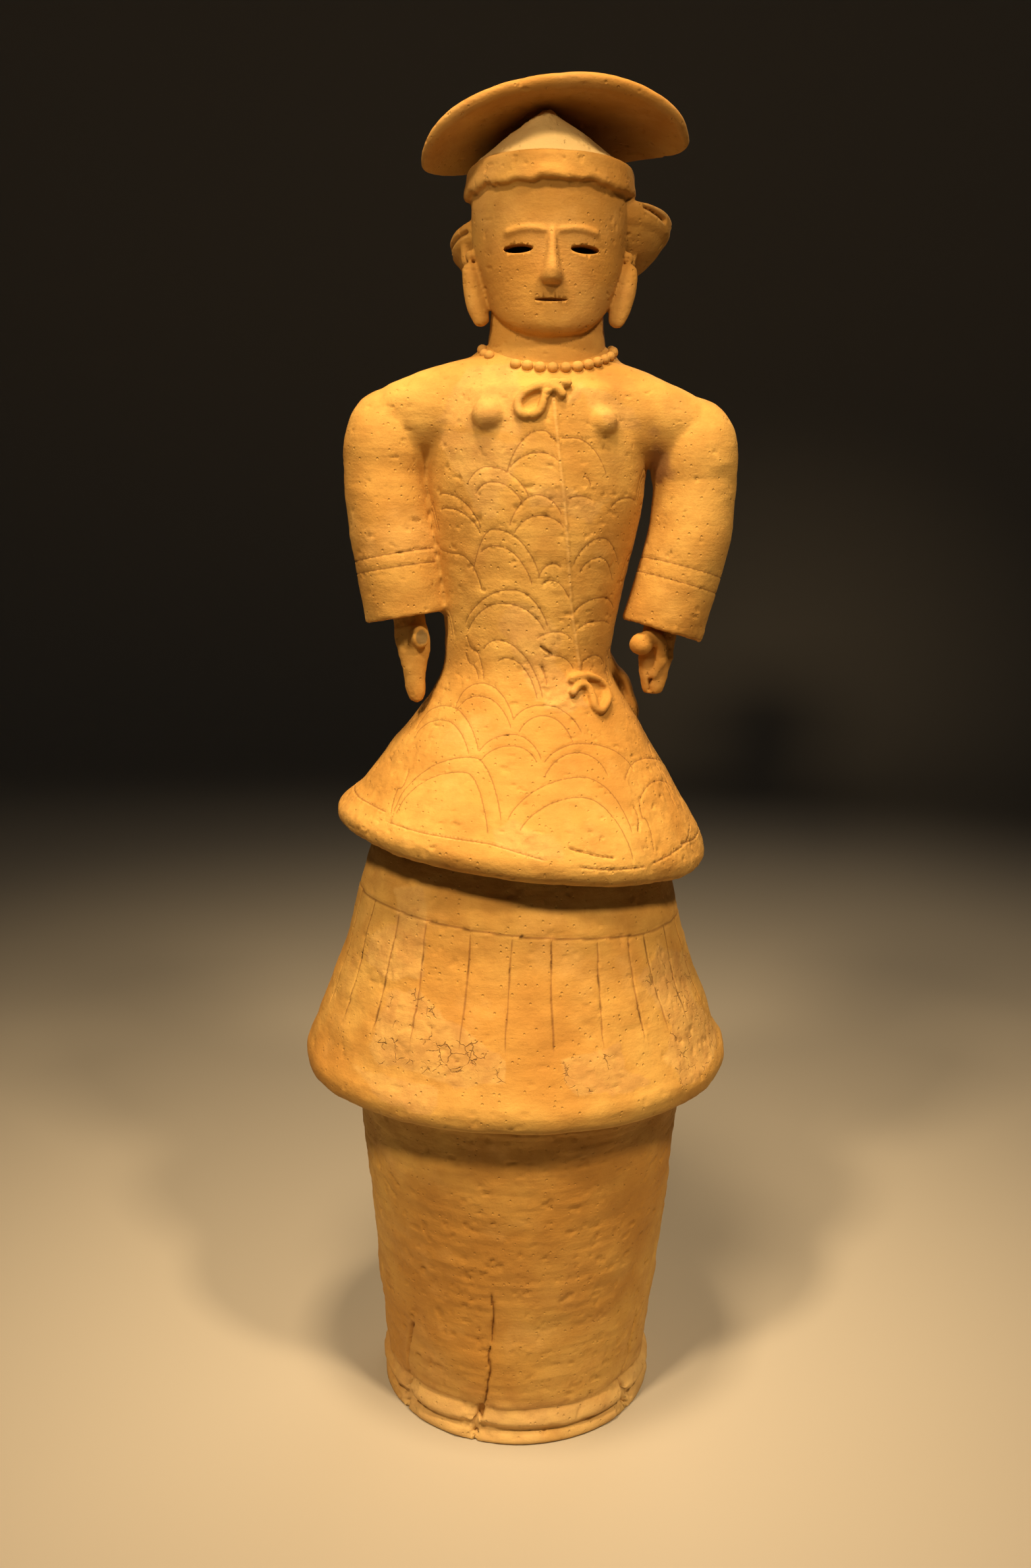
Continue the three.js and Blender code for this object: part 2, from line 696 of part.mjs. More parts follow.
function outside() {
  let form = joined([pedestal(), skirt(), jacket(), shoulders()]);
  for (const arm of ARMS) {
    form = form.add(sleeve(arm)).subtract(cuffHollow(arm));
  }
  form = form.add(rightHand()).add(leftHand());
  form = form.add(joined([neck(), head(), headband(), hairBoard()])).add(backHair());
  for (const side of [-1, 1]) {
    form = form.add(joined([...ear(side), pendant(side)]));
  }
  form = form.add(faceRelief()).add(necklace());
  return form.add(joined([...chestTie(), waistTie(), seam(), ...breasts(), hipFlap()]));
}

function figureSolid() {
  return outside().subtract(hollow()).subtract(faceOpenings()).subtract(joined(footCracks()));
}

const terracotta = new THREE.MeshStandardMaterial({ color: 0xc98540, roughness: 0.9, metalness: 0 });
const figure = new THREE.Mesh(toGeometry(figureSolid()), terracotta);
figure.name = 'haniwa_figure';

const group = new THREE.Group();
group.add(figure);

export default group;
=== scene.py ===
"""Haniwa figure of fired clay: a standing woman in a wave-scratched jacket and a pleated
skirt, on her round pedestal. All shapes are worked out in millimetres and put into the
meshes in metres. +Z is up, the figure faces -Y, X runs to its left hand."""

import bpy
import mathutils
import numpy as np
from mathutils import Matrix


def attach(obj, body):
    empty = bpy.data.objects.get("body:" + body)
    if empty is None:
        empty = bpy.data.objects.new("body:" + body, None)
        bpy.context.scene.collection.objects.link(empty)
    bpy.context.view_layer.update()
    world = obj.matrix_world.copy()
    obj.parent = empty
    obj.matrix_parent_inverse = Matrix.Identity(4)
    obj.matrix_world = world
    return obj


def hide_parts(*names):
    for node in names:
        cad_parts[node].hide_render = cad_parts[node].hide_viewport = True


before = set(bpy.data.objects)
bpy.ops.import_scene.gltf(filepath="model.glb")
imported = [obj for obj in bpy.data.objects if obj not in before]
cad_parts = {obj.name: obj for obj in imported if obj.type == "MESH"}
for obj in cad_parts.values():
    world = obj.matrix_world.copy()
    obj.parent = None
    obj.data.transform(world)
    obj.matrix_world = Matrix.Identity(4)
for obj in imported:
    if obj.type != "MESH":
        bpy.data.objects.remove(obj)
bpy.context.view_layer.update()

NODE = "haniwa_figure"

# ------------------------------------------------------------------ sizes, in millimetres

FOOT_RADIUS = 139.5
PEDESTAL_X = 4
SKIRT_DEPTH_RATIO = 0.92
HEM_UNDERSIDE = 581
HEM_TILT = 0.11
HEM_TILT_END = 750
SLEEVE_HALF_WIDTH = 39
SLEEVE_HALF_DEPTH = 42
HEAD_X = 22.5
HEAD_BOTTOM = 1058
HAIRLINE = 1180
BAND_Z = 1190
BAND_HEIGHT = 28
BOARD_HALF_WIDTH = 120
BOARD_X = 26
BOARD_Z = 1238
BOARD_THICKNESS = 13
BOARD_SAG = 22
BOARD_ROLL = 0.088
BOARD_PITCH = 0.22
BOARD_HOLLOW = 7
BRIM_Z = 1156
BRIM_RADIUS = 103.8
BEADS = 33
RUN_ON = 180  # how far a line runs straight on for each whole share past its end
PEDESTAL_FLARE = 0.0975
NOSE_SUNK = 6

# ------------------------------------------------------------------ plain mathematics


def ramp(a, b, t):
    """Smooth step: 0 at a, 1 at b, with level ends."""
    s = np.clip((np.asarray(t, float) - a) / (b - a), 0, 1)
    return s * s * (3 - 2 * s)


def through(stations):
    """Cubic through (t, value) stations whose slope there is the harmonic mean of the
    slopes on both sides, so that it never overshoots them."""
    t, v = np.array(stations, float).T
    slope = np.diff(v) / np.diff(t)
    a, b = slope[:-1], slope[1:]
    bends = a * b <= 0
    inner = np.where(bends, 0, 2 * a * b / np.where(bends, 1, a + b))
    tangent = np.concatenate([slope[:1], inner, slope[-1:]])

    def value(x):
        x = np.clip(x, t[0], t[-1])
        i = np.clip(np.searchsorted(t, x, side="right") - 1, 0, len(t) - 2)
        w = t[i + 1] - t[i]
        s = (x - t[i]) / w
        start = (2 * s**3 - 3 * s**2 + 1) * v[i] + (s**3 - 2 * s**2 + s) * w * tangent[i]
        end = (3 * s**2 - 2 * s**3) * v[i + 1] + (s**3 - s**2) * w * tangent[i + 1]
        return start + end

    return value


NOISE_CELLS = 32
NOISE_TABLE = np.random.default_rng(11).uniform(-1, 1, (NOISE_CELLS,) * 3)


def noise(points, size, shift=0.0):
    """Smooth random field from -1 to 1: random values on a cubic lattice of the given cell
    size, blended with smooth steps between the eight corners of a cell."""
    q = np.asarray(points, float) / size + shift + 0.37
    cell = np.floor(q).astype(int)
    f = q - cell
    f = f * f * (3 - 2 * f)
    total = 0
    for corner in np.ndindex(2, 2, 2):
        share = np.prod(np.where(corner, f, 1 - f), axis=-1)
        x, y, z = ((cell + corner) % NOISE_CELLS).T
        total = total + share.T * NOISE_TABLE[x, y, z]
    return total.T


def rough(points, size, octaves=3, shift=0.0):
    """Sum of noise fields, each at half the size and half the height of the one before."""
    parts = [noise(points, size / 2**k, shift + 5.3 * k) / 2**k for k in range(octaves)]
    return sum(parts)


# ------------------------------------------------------------------ surfaces


def lofted(rings):
    """Closed skin over a (rows, around, 3) grid of rings, with a fan over each end."""
    n, m = rings.shape[:2]
    i, j = np.meshgrid(np.arange(n - 1), np.arange(m), indexing="ij")
    k = (j + 1) % m
    quads = np.stack([i * m + j, i * m + k, (i + 1) * m + k, (i + 1) * m + j], -1).reshape(-1, 4)
    a = np.arange(m)
    b = (a + 1) % m
    low = np.stack([np.full(m, n * m), b, a], -1)
    high = np.stack([(n - 1) * m + a, (n - 1) * m + b, np.full(m, n * m + 1)], -1)
    points = np.concatenate([rings.reshape(-1, 3), [rings[0].mean(0), rings[-1].mean(0)]])
    return points, [quads, low, high]


def looped(rings):
    """Skin over rings whose last ring joins the first: a wall around an open hollow."""
    n, m = rings.shape[:2]
    i, j = np.meshgrid(np.arange(n), np.arange(m), indexing="ij")
    h, k = (i + 1) % n, (j + 1) % m
    quads = np.stack([i * m + j, i * m + k, h * m + k, h * m + j], -1).reshape(-1, 4)
    return rings.reshape(-1, 3), [quads]


def joined(parts):
    """Several skins as one list of points and faces."""
    points, faces, start = [], [], 0
    for part_points, part_faces in parts:
        points.append(part_points)
        faces += [f + start for f in part_faces]
        start += len(part_points)
    return np.concatenate(points), faces


def circle(around):
    """Even angles of a full turn."""
    return np.arange(around) * 2 * np.pi / around


def stack(heights, around, width, depth, middle, back=0.0):
    """Level ovals: half width, half depth and middle are functions of the height."""
    z = np.asarray(heights, float)[:, None]
    turn = circle(around)[None, :]
    x = middle(z) + width(z) * np.cos(turn)
    y = back + depth(z) * np.sin(turn)
    return np.stack([x, y, z + 0 * turn], -1)


def line_through(places):
    """Function of a share 0..1 of the length: a smooth line through the places."""
    places = np.asarray(places, float)
    length = np.concatenate([[0], np.cumsum(np.linalg.norm(np.diff(places, axis=0), axis=1))])
    share = length / length[-1]
    axes = [through(np.stack([share, places[:, i]], -1)) for i in range(3)]
    return lambda t: np.stack([axis(np.asarray(t, float)) for axis in axes], -1)


def eased(count):
    """Shares from 0 to 1, closer together at both ends."""
    return (1 - np.cos(np.linspace(0, np.pi, count))) / 2


def carried(line, t, width, depth, around, front=(0, -1, 0), step=2e-3):
    """Rings of ovals, one for each share t of a line, with a half width and half depth
    for each. One axis of the ovals keeps square to the front direction; past the ends of
    the line the rings go straight on."""
    t = np.asarray(t, float)
    inside = np.clip(t, 0, 1)
    along = line(np.clip(inside + step, 0, 1)) - line(np.clip(inside - step, 0, 1))
    along /= np.linalg.norm(along, axis=1, keepdims=True)
    side = np.cross(np.asarray(front, float), along)
    side /= np.linalg.norm(side, axis=1, keepdims=True)
    ahead = np.cross(along, side)
    turn = circle(around)
    across = np.multiply.outer(width, np.cos(turn))[..., None] * side[:, None, :]
    forward = np.multiply.outer(depth, np.sin(turn))[..., None] * ahead[:, None, :]
    return (line(inside) + (t - inside)[:, None] * RUN_ON * along)[:, None, :] + across + forward


def strand(places, radius, rows=40, around=14, front=(0, -1, 0.01), taper=0.0):
    """A clay cord: a round section along a line, with its ends rounded off."""
    t = eased(rows)
    length = np.linalg.norm(np.diff(np.asarray(places, float), axis=0), axis=1).sum()
    gap = np.minimum(t, 1 - t) * length / radius
    size = radius * np.sqrt(np.clip(1 - (1 - np.clip(gap, 0, 1)) ** 2, 0.02, 1)) * (1 - taper * t)
    return lofted(carried(line_through(places), t, size, size, around, front, 1e-3))


def ball(middle, half, rows=24, around=32):
    """Ovoid: a sine profile turned about Z and stretched to its half sizes."""
    t = np.linspace(0.03, np.pi - 0.03, rows)[:, None]
    turn = circle(around)[None, :]
    unit = np.stack([np.sin(t) * np.cos(turn), np.sin(t) * np.sin(turn), -np.cos(t) + 0 * turn], -1)
    return lofted(unit * np.asarray(half, float) + np.asarray(middle, float))


def mesh_object(name, points, faces, marks=None):
    """Mesh object in metres, smooth shaded, with a float attribute for each mark."""
    mesh = bpy.data.meshes.new(name)
    corners = [face for part in faces for face in part.tolist()]
    mesh.from_pydata((np.asarray(points) / 1000).tolist(), [], corners)
    mesh.polygons.foreach_set("use_smooth", np.ones(len(mesh.polygons), bool))
    for key, values in (marks or {}).items():
        layer = mesh.attributes.new(key, "FLOAT", "POINT")
        layer.data.foreach_set("value", np.asarray(values, np.float32))
    mesh.update()
    obj = bpy.data.objects.new(name, mesh)
    bpy.context.scene.collection.objects.link(obj)
    return obj


def finished_mesh(obj):
    """The object's mesh with its modifiers in place."""
    view = bpy.context.evaluated_depsgraph_get()
    return bpy.data.meshes.new_from_object(obj.evaluated_get(view), depsgraph=view)


def apply_modifiers(obj):
    """Puts the finished mesh in place of the object's own."""
    mesh = finished_mesh(obj)
    obj.modifiers.clear()
    obj.data = mesh


def one_skin(parts, voxel):
    """Points and quads of one even skin around skins that run into each other."""
    obj = mesh_object("work", *joined(parts))
    skin = obj.modifiers.new("skin", "REMESH")
    skin.mode = "VOXEL"
    skin.voxel_size = voxel / 1000
    mesh = finished_mesh(obj)
    points = np.empty(len(mesh.vertices) * 3, np.float32)
    mesh.vertices.foreach_get("co", points)
    corners = np.empty(len(mesh.loops), np.int32)
    mesh.loops.foreach_get("vertex_index", corners)
    bpy.data.objects.remove(obj)
    return points.reshape(-1, 3).astype(float) * 1000, corners.reshape(-1, 4)


def mean_of_neighbours(points, edges, valence):
    """Mean place of the points joined to each point by an edge."""
    a, b = edges
    sums = [
        np.bincount(a, points[:, i][b], len(points)) + np.bincount(b, points[:, i][a], len(points))
        for i in range(3)
    ]
    return np.stack(sums, -1) / valence[:, None]


def smoothed(points, quads, rounds, weight=1.0, keep_size=False):
    """Each round moves every point towards the mean of its neighbours by half the weight;
    with keep_size a second, outward step undoes the shrinking."""
    pairs = np.concatenate([quads[:, [0, 1]], quads[:, [1, 2]], quads[:, [2, 3]], quads[:, [3, 0]]])
    pairs = np.unique(np.sort(pairs, axis=1), axis=0).T
    valence = np.bincount(pairs.ravel(), minlength=len(points)).astype(float)
    amount = (0.5 * np.asarray(weight) * np.ones(len(points)))[:, None]
    for _ in range(rounds):
        points = points + amount * (mean_of_neighbours(points, pairs, valence) - points)
        if keep_size:
            points = points - 1.05 * amount * (mean_of_neighbours(points, pairs, valence) - points)
    return points


def normals_of(points, faces):
    """Mean of the face directions around each point, weighted by their areas."""
    total = np.zeros_like(points)
    for part in faces:
        a, b = points[part[:, -2]] - points[part[:, 0]], points[part[:, -1]] - points[part[:, 1]]
        if part.shape[1] == 3:
            a, b = points[part[:, 1]] - points[part[:, 0]], points[part[:, 2]] - points[part[:, 0]]
        direction = np.cross(a, b)
        for corner in part.T:
            for i in range(3):
                total[:, i] += np.bincount(corner, direction[:, i], len(points))
    return total / np.maximum(np.linalg.norm(total, axis=1, keepdims=True), 1e-9)


# ------------------------------------------------------------------ scratches and breaks


class Relief:
    """Depth of cuts and height of lips at every point of a skin, in millimetres, and the
    share of dark colour in the cuts: dust, and painted shade in the hollows."""

    def __init__(self, points, normals, spacing):
        self.points = points.copy()
        self.normals = normals
        self.spacing = spacing
        self.cut = np.zeros(len(points))
        self.lip = np.zeros(len(points))
        self.dust_and_shade = np.zeros(len(points))

    def near(self, line, reach):
        """Points around a line, their distance to it and the share of its length there."""
        inside = (self.points > line.min(0) - reach) & (self.points < line.max(0) + reach)
        index = np.flatnonzero(inside.all(1))
        p = self.points[index][:, None, :]
        a, d = line[:-1], np.diff(line, axis=0)
        t = np.clip(((p - a) * d).sum(-1) / (d * d).sum(-1), 0, 1)
        foot = a + t[..., None] * d
        gap = np.linalg.norm(p - foot, axis=-1)
        k = gap.argmin(1) if len(index) else np.zeros(0, int)
        row = np.arange(len(index))
        return index, gap[row, k], (k + t[row, k]) / len(a), foot[row, k]

    def drawn_to(self, line):
        """Slides the points beside a line along the skin onto it, so that mesh edges
        follow the line."""
        index, gap, _, foot = self.near(line, 2 * self.spacing)
        pull = ramp(1.0 * self.spacing, 0.45 * self.spacing, gap)[:, None]
        way = foot - self.points[index]
        normal = self.normals[index]
        way -= normal * (way * normal).sum(1, keepdims=True)
        self.points[index] += pull * way

    def scratch(self, line, width, depth, burr=0.35, ends=0.07):
        """A line drawn in soft clay: a round-bottomed cut with a lip pushed up along it."""
        self.drawn_to(line)
        index, gap, share, _ = self.near(line, 4 * width)
        fade = ramp(0, ends, share) * ramp(1, 1 - ends, share) if ends else 1
        uneven = 0.85 + 0.3 * noise(self.points[index], 9, 3.1)
        stroke = depth * fade * uneven
        self.cut[index] = np.maximum(self.cut[index], stroke * np.exp(-((gap / width) ** 2)))
        lip = burr * stroke * np.exp(-(((gap - 1.75 * width) / (0.7 * width)) ** 2))
        self.lip[index] = np.maximum(self.lip[index], lip)
        # dark colour along the cut: dust and painted shade in the groove
        dust_and_shade_share = fade * np.exp(-((gap / (0.8 * width)) ** 2))
        self.dust_and_shade[index] = np.maximum(self.dust_and_shade[index], dust_and_shade_share)

    def crack(self, line, width, depth, wander=2.0):
        """A break: a steep-sided cut whose line and width wander."""
        drift = wander * noise(line, 14, 7.7)[:, None] * np.array([1.0, 0.3, 0.6])
        index, gap, share, _ = self.near(line + drift, 4 * width)
        span = width * (0.75 + 0.5 * noise(self.points[index], 7, 1.9))
        fade = ramp(0, 0.1, share) * ramp(1, 0.97, share)
        self.cut[index] = np.maximum(self.cut[index], depth * fade * ramp(1.5, 0.5, gap / span))
        # dark colour in the break: dust and painted shade in the crack
        self.dust_and_shade[index] = np.maximum(self.dust_and_shade[index], fade * ramp(1.3, 0.5, gap / span))

    def moved(self, unevenness):
        """The points moved along their normals by all the relief."""
        height = unevenness + self.lip * ramp(0.4, 0.1, self.cut) - self.cut
        return self.points + self.normals * height[:, None]

    def marks(self, **more):
        """Every mark's share at each point; a mark that isn't given is nowhere."""
        # the cut mark carries the dust and painted shade of cuts and breaks
        return {**no_marks(len(self.points)), "cut": self.dust_and_shade, "lip": self.lip, **more}


def no_marks(count):
    return {name: np.zeros(count) for name in ("cut", "lip", "repair", "stain", "crazed", "core")}


def inside_outline(points, outline, blur=2.5, wander=5.0):
    """Share from 0 to 1 of each point inside a closed (x, z) outline on the front, its
    edge blurred and made to wander."""
    a = np.array(outline, float)
    b = np.roll(a, -1, axis=0)
    share = np.zeros(len(points))
    low, high = a.min(0) - wander - blur, a.max(0) + wander + blur
    flat = points[:, [0, 2]]
    index = np.flatnonzero(((flat > low) & (flat < high)).all(1) & (points[:, 1] < 0))
    p = flat[index][:, None, :]
    d = b - a
    t = np.clip(((p - a) * d).sum(-1) / (d * d).sum(-1), 0, 1)
    gap = np.linalg.norm(p - a - t[..., None] * d, axis=-1).min(1) if len(index) else np.zeros(0)
    over = (a[:, 1] > p[..., 1]) != (b[:, 1] > p[..., 1])
    cross = a[:, 0] + (p[..., 1] - a[:, 1]) * d[:, 0] / np.where(d[:, 1] == 0, 1e-9, d[:, 1])
    inside = (over & (p[..., 0] < cross)).sum(1) % 2 == 1
    signed = np.where(inside, -gap, gap) + wander * rough(points[index], 12, 2, 3.3) * 0.6
    share[index] = ramp(blur, -blur, signed)
    return share


def patches(points, outlines, blur=2.5, wander=5.0):
    """The greatest share of several outlines."""
    return np.max([inside_outline(points, o, blur, wander) for o in outlines], axis=0)


def behind(points, size, start, shift):
    """Patches on the sides and back, where no outline is given: the peaks of a noise."""
    return ramp(start, start + 0.12, rough(points, size, 3, shift)) * ramp(-10, 40, points[:, 1])


def curve(places, count=24):
    """Points of a smooth line through places."""
    return line_through(places)(np.linspace(0, 1, count))


def drawn(surface, places, count=30):
    """Points of a smooth line through (x, z) places on a surface."""
    x, z = np.array(places, float).T
    return curve(surface(x, z), count)


# ------------------------------------------------------------------ forms of the body

skirt_half_width = through([
    (352, 203), (360, 210), (373, 212), (387, 209), (400, 202.5), (414, 196), (440, 184.4),
    (480, 170), (521, 159), (560, 150), (640, 128),
])
skirt_middle = through([(373, 0), (400, -1), (450, -1), (560, 0), (640, 4)])

jacket_width = through([
    (581, 170), (584, 175), (590, 180), (597, 181), (605, 177.5), (612, 172.5), (624, 163.5),
    (639, 153.5), (652, 144.5), (680, 125.5), (707, 107), (735, 89.5), (752, 81.5), (766, 79),
    (790, 81), (820, 86), (850, 91.3), (884, 98), (922, 102.7), (955, 104.3), (985, 101.5),
    (1005, 95), (1022, 84), (1036, 72), (1046, 62), (1052, 54), (1056, 49),
])
jacket_depth = through([
    (581, 157), (584, 161), (590, 165), (597, 166), (605, 164), (612, 160), (624, 153),
    (652, 135), (680, 117.5),
    (707, 101), (735, 85), (766, 75), (820, 77), (884, 81), (922, 82), (965, 80), (1000, 74),
    (1022, 68), (1036, 62), (1046, 55), (1052, 48), (1056, 41),
])
jacket_middle = through([
    (600, 3.5), (609, 6), (624, 10), (652, 10), (680, 7.5), (766, 7.5), (790, 8.5), (820, 9.5),
    (850, 10.7), (884, 11.8), (922, 12.6), (955, 13.2), (1000, 14.5), (1030, 18), (1052, 21.5),
])


def hem_drop(x, z):
    """The jacket's hem plane drops to the figure's left; the drop fades out at the waist."""
    return -HEM_TILT * x * (1 - ramp(HEM_UNDERSIDE + 30, HEM_TILT_END, z))


def on_jacket(x, z, proud=0.0):
    """Places on the front of the jacket at width x and height z."""
    x, z = np.asarray(x, float), np.asarray(z, float)
    level = z - hem_drop(x, z)
    level = z - hem_drop(x, level)
    across = np.clip((x - jacket_middle(level)) / jacket_width(level), -1, 1)
    y = -jacket_depth(level) * np.sqrt(1 - across * across)
    return np.stack([x, y - proud, z], -1)


def round_jacket(turn, level):
    """Places around the jacket: turn 0 is the front, a quarter turn the figure's left."""
    turn, level = np.broadcast_arrays(np.asarray(turn, float), np.asarray(level, float))
    x = jacket_middle(level) + jacket_width(level) * np.sin(turn)
    y = -jacket_depth(level) * np.cos(turn)
    return np.stack([x, y, level + hem_drop(x, level)], -1)


def round_skirt(turn, level):
    """Places around the skirt, by turn from the front and height."""
    turn, level = np.broadcast_arrays(np.asarray(turn, float), np.asarray(level, float))
    half = skirt_half_width(level)
    x = skirt_middle(level) + half * np.sin(turn)
    return np.stack([x, -SKIRT_DEPTH_RATIO * half * np.cos(turn), level], -1)


# ------------------------------------------------------------------ pedestal


def unevenness(points, height):
    """Hand-worked clay: long swells left by the coils and short ones left by fingers."""
    stretched = points * np.array([1, 1, 1.7])
    return height * (0.75 * rough(stretched, 58, 2, 2.0) + 0.3 * rough(stretched, 17, 3, 4.0))


def pits(points, size, share, depth, seed):
    """Small pits where grit fell out, drawn out sideways by the scraping: the peaks of a
    fine noise, cut off below a share."""
    level = points * np.array([0.75, 0.75, 1.5])
    field = noise(level, size, seed) * 0.6 + noise(level, size * 1.9, seed + 8.5) * 0.4
    return -depth * ramp(share, share + 0.16, field)


def profile_rows(places, rows):
    """Even points along a smooth (radius, height) profile."""
    flat = [(radius, 0, z) for radius, z in places]
    return line_through(flat)(np.linspace(0, 1, rows))[:, [0, 2]]


def pedestal(around=500):
    """The pedestal: a closed wall profile turned about its axis. The outside rises from the
    folded foot ring, the inside comes down again to the flat underside."""
    ring = FOOT_RADIUS
    outside = profile_rows([
        (ring - 2.5, 0), (ring - 0.5, 1.5), (ring + 0.5, 6), (ring - 1, 11), (ring - 3.5, 14.5),
        (ring - 0.5, 18), (ring + 1, 23), (ring - 0.5, 28), (ring - 2.5, 32), (ring - 3.5, 37),
        (140, 75), (148, 160), (157, 250), (165, 335), (167.5, 342), (167, 349), (168, 385),
        (165, 420), (158, 446),
    ], 178)
    inside = np.array([
        (144, 446), (150, 420), (153, 385), (151, 340), (146, 290), (138, 200), (131, 100),
        (126, 40), (124.5, 12), (124.5, 0),
    ])
    profile = np.concatenate([outside, inside])
    turn = circle(around)
    radius, z = profile[:, :1], profile[:, 1:]
    oval = 1 - 0.08 * ramp(350, 430, z)
    x, y = PEDESTAL_X + radius * np.sin(turn), -radius * np.cos(turn) * oval
    return looped(np.stack([x, y, z + 0 * turn], -1))


def round_pedestal(turn, z):
    """Places on the outside of the pedestal, by turn from the front and height."""
    turn, z = np.broadcast_arrays(np.radians(np.asarray(turn, float)), np.asarray(z, float))
    radius = np.where(z < 34, FOOT_RADIUS, 136 + (z - 37) * PEDESTAL_FLARE)
    return np.stack([PEDESTAL_X + radius * np.sin(turn), -radius * np.cos(turn), z], -1)


PEDESTAL_CRACKS = [
    # turn and height along the break, width, depth
    (
        [(-11, 175), (-10.5, 150), (-10.5, 122), (-12, 100), (-11.5, 83), (-13, 60), (-14.5, 38)],
        1.5, 4,
    ),
    ([(-15, 37), (-17, 27), (-18, 14), (-18, -4)], 3.4, 13),
    ([(-46, 112), (-49, 98), (-50.5, 86), (-53.5, 62), (-54.5, 41)], 1.8, 5),
    ([(-54.5, 42), (-54.8, 25), (-54.5, -4)], 3.0, 12),
    ([(56, 112), (55.5, 96), (54, 80), (54.5, 64), (51, 44)], 1.8, 4),
    ([(51, 44), (52.5, 28), (53.5, 12), (53, -4)], 2.8, 12),
    ([(150, 150), (152, 110), (149, 60), (151, 34), (152, -4)], 2.0, 6),
    ([(-128, 96), (-127, 70), (-130, 34), (-129, -4)], 2.2, 8),
]


def pedestal_piece():
    """The pedestal with its cracks, its uneven ring and the chips beside the breaks."""
    points, faces = pedestal()
    normals = normals_of(points, faces)
    relief = Relief(points, normals, 2.0)
    for places, width, depth in PEDESTAL_CRACKS:
        turn, z = np.array(places, float).T
        relief.crack(curve(round_pedestal(turn, z)), width, depth)
    turn = np.degrees(np.arctan2(points[:, 0] - PEDESTAL_X, -points[:, 1]))
    ring_edge = 33 + 3.5 * noise(np.stack([turn, 0 * turn, 0 * turn], -1), 17, 0.2)
    lip = -2.4 * np.exp(-(((points[:, 2] - ring_edge - 2.5) / 2.2) ** 2))
    fold = -1.6 * np.exp(-(((points[:, 2] - ring_edge * 0.42) / 1.6) ** 2))
    outside = (normals[:, 2] > -0.7) & (np.hypot(points[:, 0] - PEDESTAL_X, points[:, 1]) > 132)
    brushed = 0.4 * rough(points * np.array([0.05, 0.05, 1]), 5.5, 3, 1.0)
    height = unevenness(points, 1.6) + brushed
    height = height + pits(points, 5, 0.4, 1.5, 3.0) + pits(points, 2.6, 0.42, 1.0, 6.0)
    on_ring = ramp(0, 30, 60 - points[:, 2])
    height += (lip + fold) * on_ring
    height += on_ring * (1.6 * rough(points * np.array([0.6, 0.6, 1]), 24, 3, 9.0) - 0.6)
    break_turns = np.array([-54.5, -17, 53, 151, -129])
    apart = np.abs((turn[:, None] - break_turns + 180) % 360 - 180).min(1)
    chipped = ramp(9, 2, apart + 3 * rough(points, 8, 2, 1.0)) * ramp(46, 36, points[:, 2])
    height -= chipped * (2.4 + 2.2 * rough(points, 7, 2, 5.0))
    height *= outside * ramp(0, 5, points[:, 2])
    moved = relief.moved(height)
    moved[:, 2] = np.maximum(moved[:, 2], 0)
    tan = ramp(330, 60, points[:, 2]) * ramp(-0.5, 0.4, rough(points, 90, 3, 1.5))
    rubbed = 0.9 * on_ring * ramp(50, 36, points[:, 2])
    return mesh_object("pedestal", moved, faces, relief.marks(repair=0.5 * tan + rubbed))


# ------------------------------------------------------------------ skirt

PLEATS = [
    # turn at the top line and at the hem line, in degrees; the rest follow at even steps
    (-45.8, -45.5), (-33, -30.6), (-16.3, -16.6), (-2.5, -3.9), (10.3, 9.3), (26.3, 23.8),
    (39.1, 37.7), (46.5, 49.3), (60.4, 58.3),
]
PLEAT_STEP = 13.2

# Worn and mended places on the front of the skirt: outlines and breaks as (x, z).
SKIRT_REPAIRS = [
    [(-118, 554), (-90, 564), (-85, 518), (-89, 482), (-117, 473), (-145, 483), (-141, 507),
     (-113, 525)],
    [(-157, 393), (-98, 393), (-70, 393), (-79, 369), (-126, 373)],
]
SKIRT_CRAZED = [
    [(-119, 466), (-95, 472), (-71, 453), (-48, 445), (-13, 419), (-13, 401), (-56, 395),
     (-98, 403), (-134, 402), (-138, 423)],
    [(37, 419), (67, 426), (91, 425), (97, 405), (124, 388), (85, 385), (48, 392)],
    [(111, 478), (135, 499), (170, 473), (172, 436), (203, 389), (192, 381), (155, 377),
     (135, 404), (147, 425)],
]
SKIRT_CRACKS = [
    [(-61, 417), (-54, 415), (-53, 399)],
    [(-41, 422), (-36, 400), (-25, 405), (-11, 397)],
    [(-38, 400), (-42, 390)],
    [(-16, 438), (-18, 424), (-17, 409)],
    [(-50, 420), (-38, 416), (-26, 420)],
    [(43, 418), (55, 413), (67, 413)],
    [(62, 400), (69, 394), (71, 380)],
    [(93, 407), (101, 393), (97, 384)],
    [(137, 392), (161, 376), (179, 374)],
    [(146, 417), (169, 407), (188, 400)],
    [(12, 397), (14, 385)],
    [(125, 408), (135, 397), (137, 384)],
    [(-80, 402), (-88, 392), (-86, 380)],
    [(-112, 425), (-104, 416), (-108, 404)],
]


def on_skirt(x, z):
    """Places on the front of the skirt at width x and height z."""
    across = np.clip((x - skirt_middle(z)) / skirt_half_width(z), -1, 1)
    return round_skirt(np.arcsin(across), z)


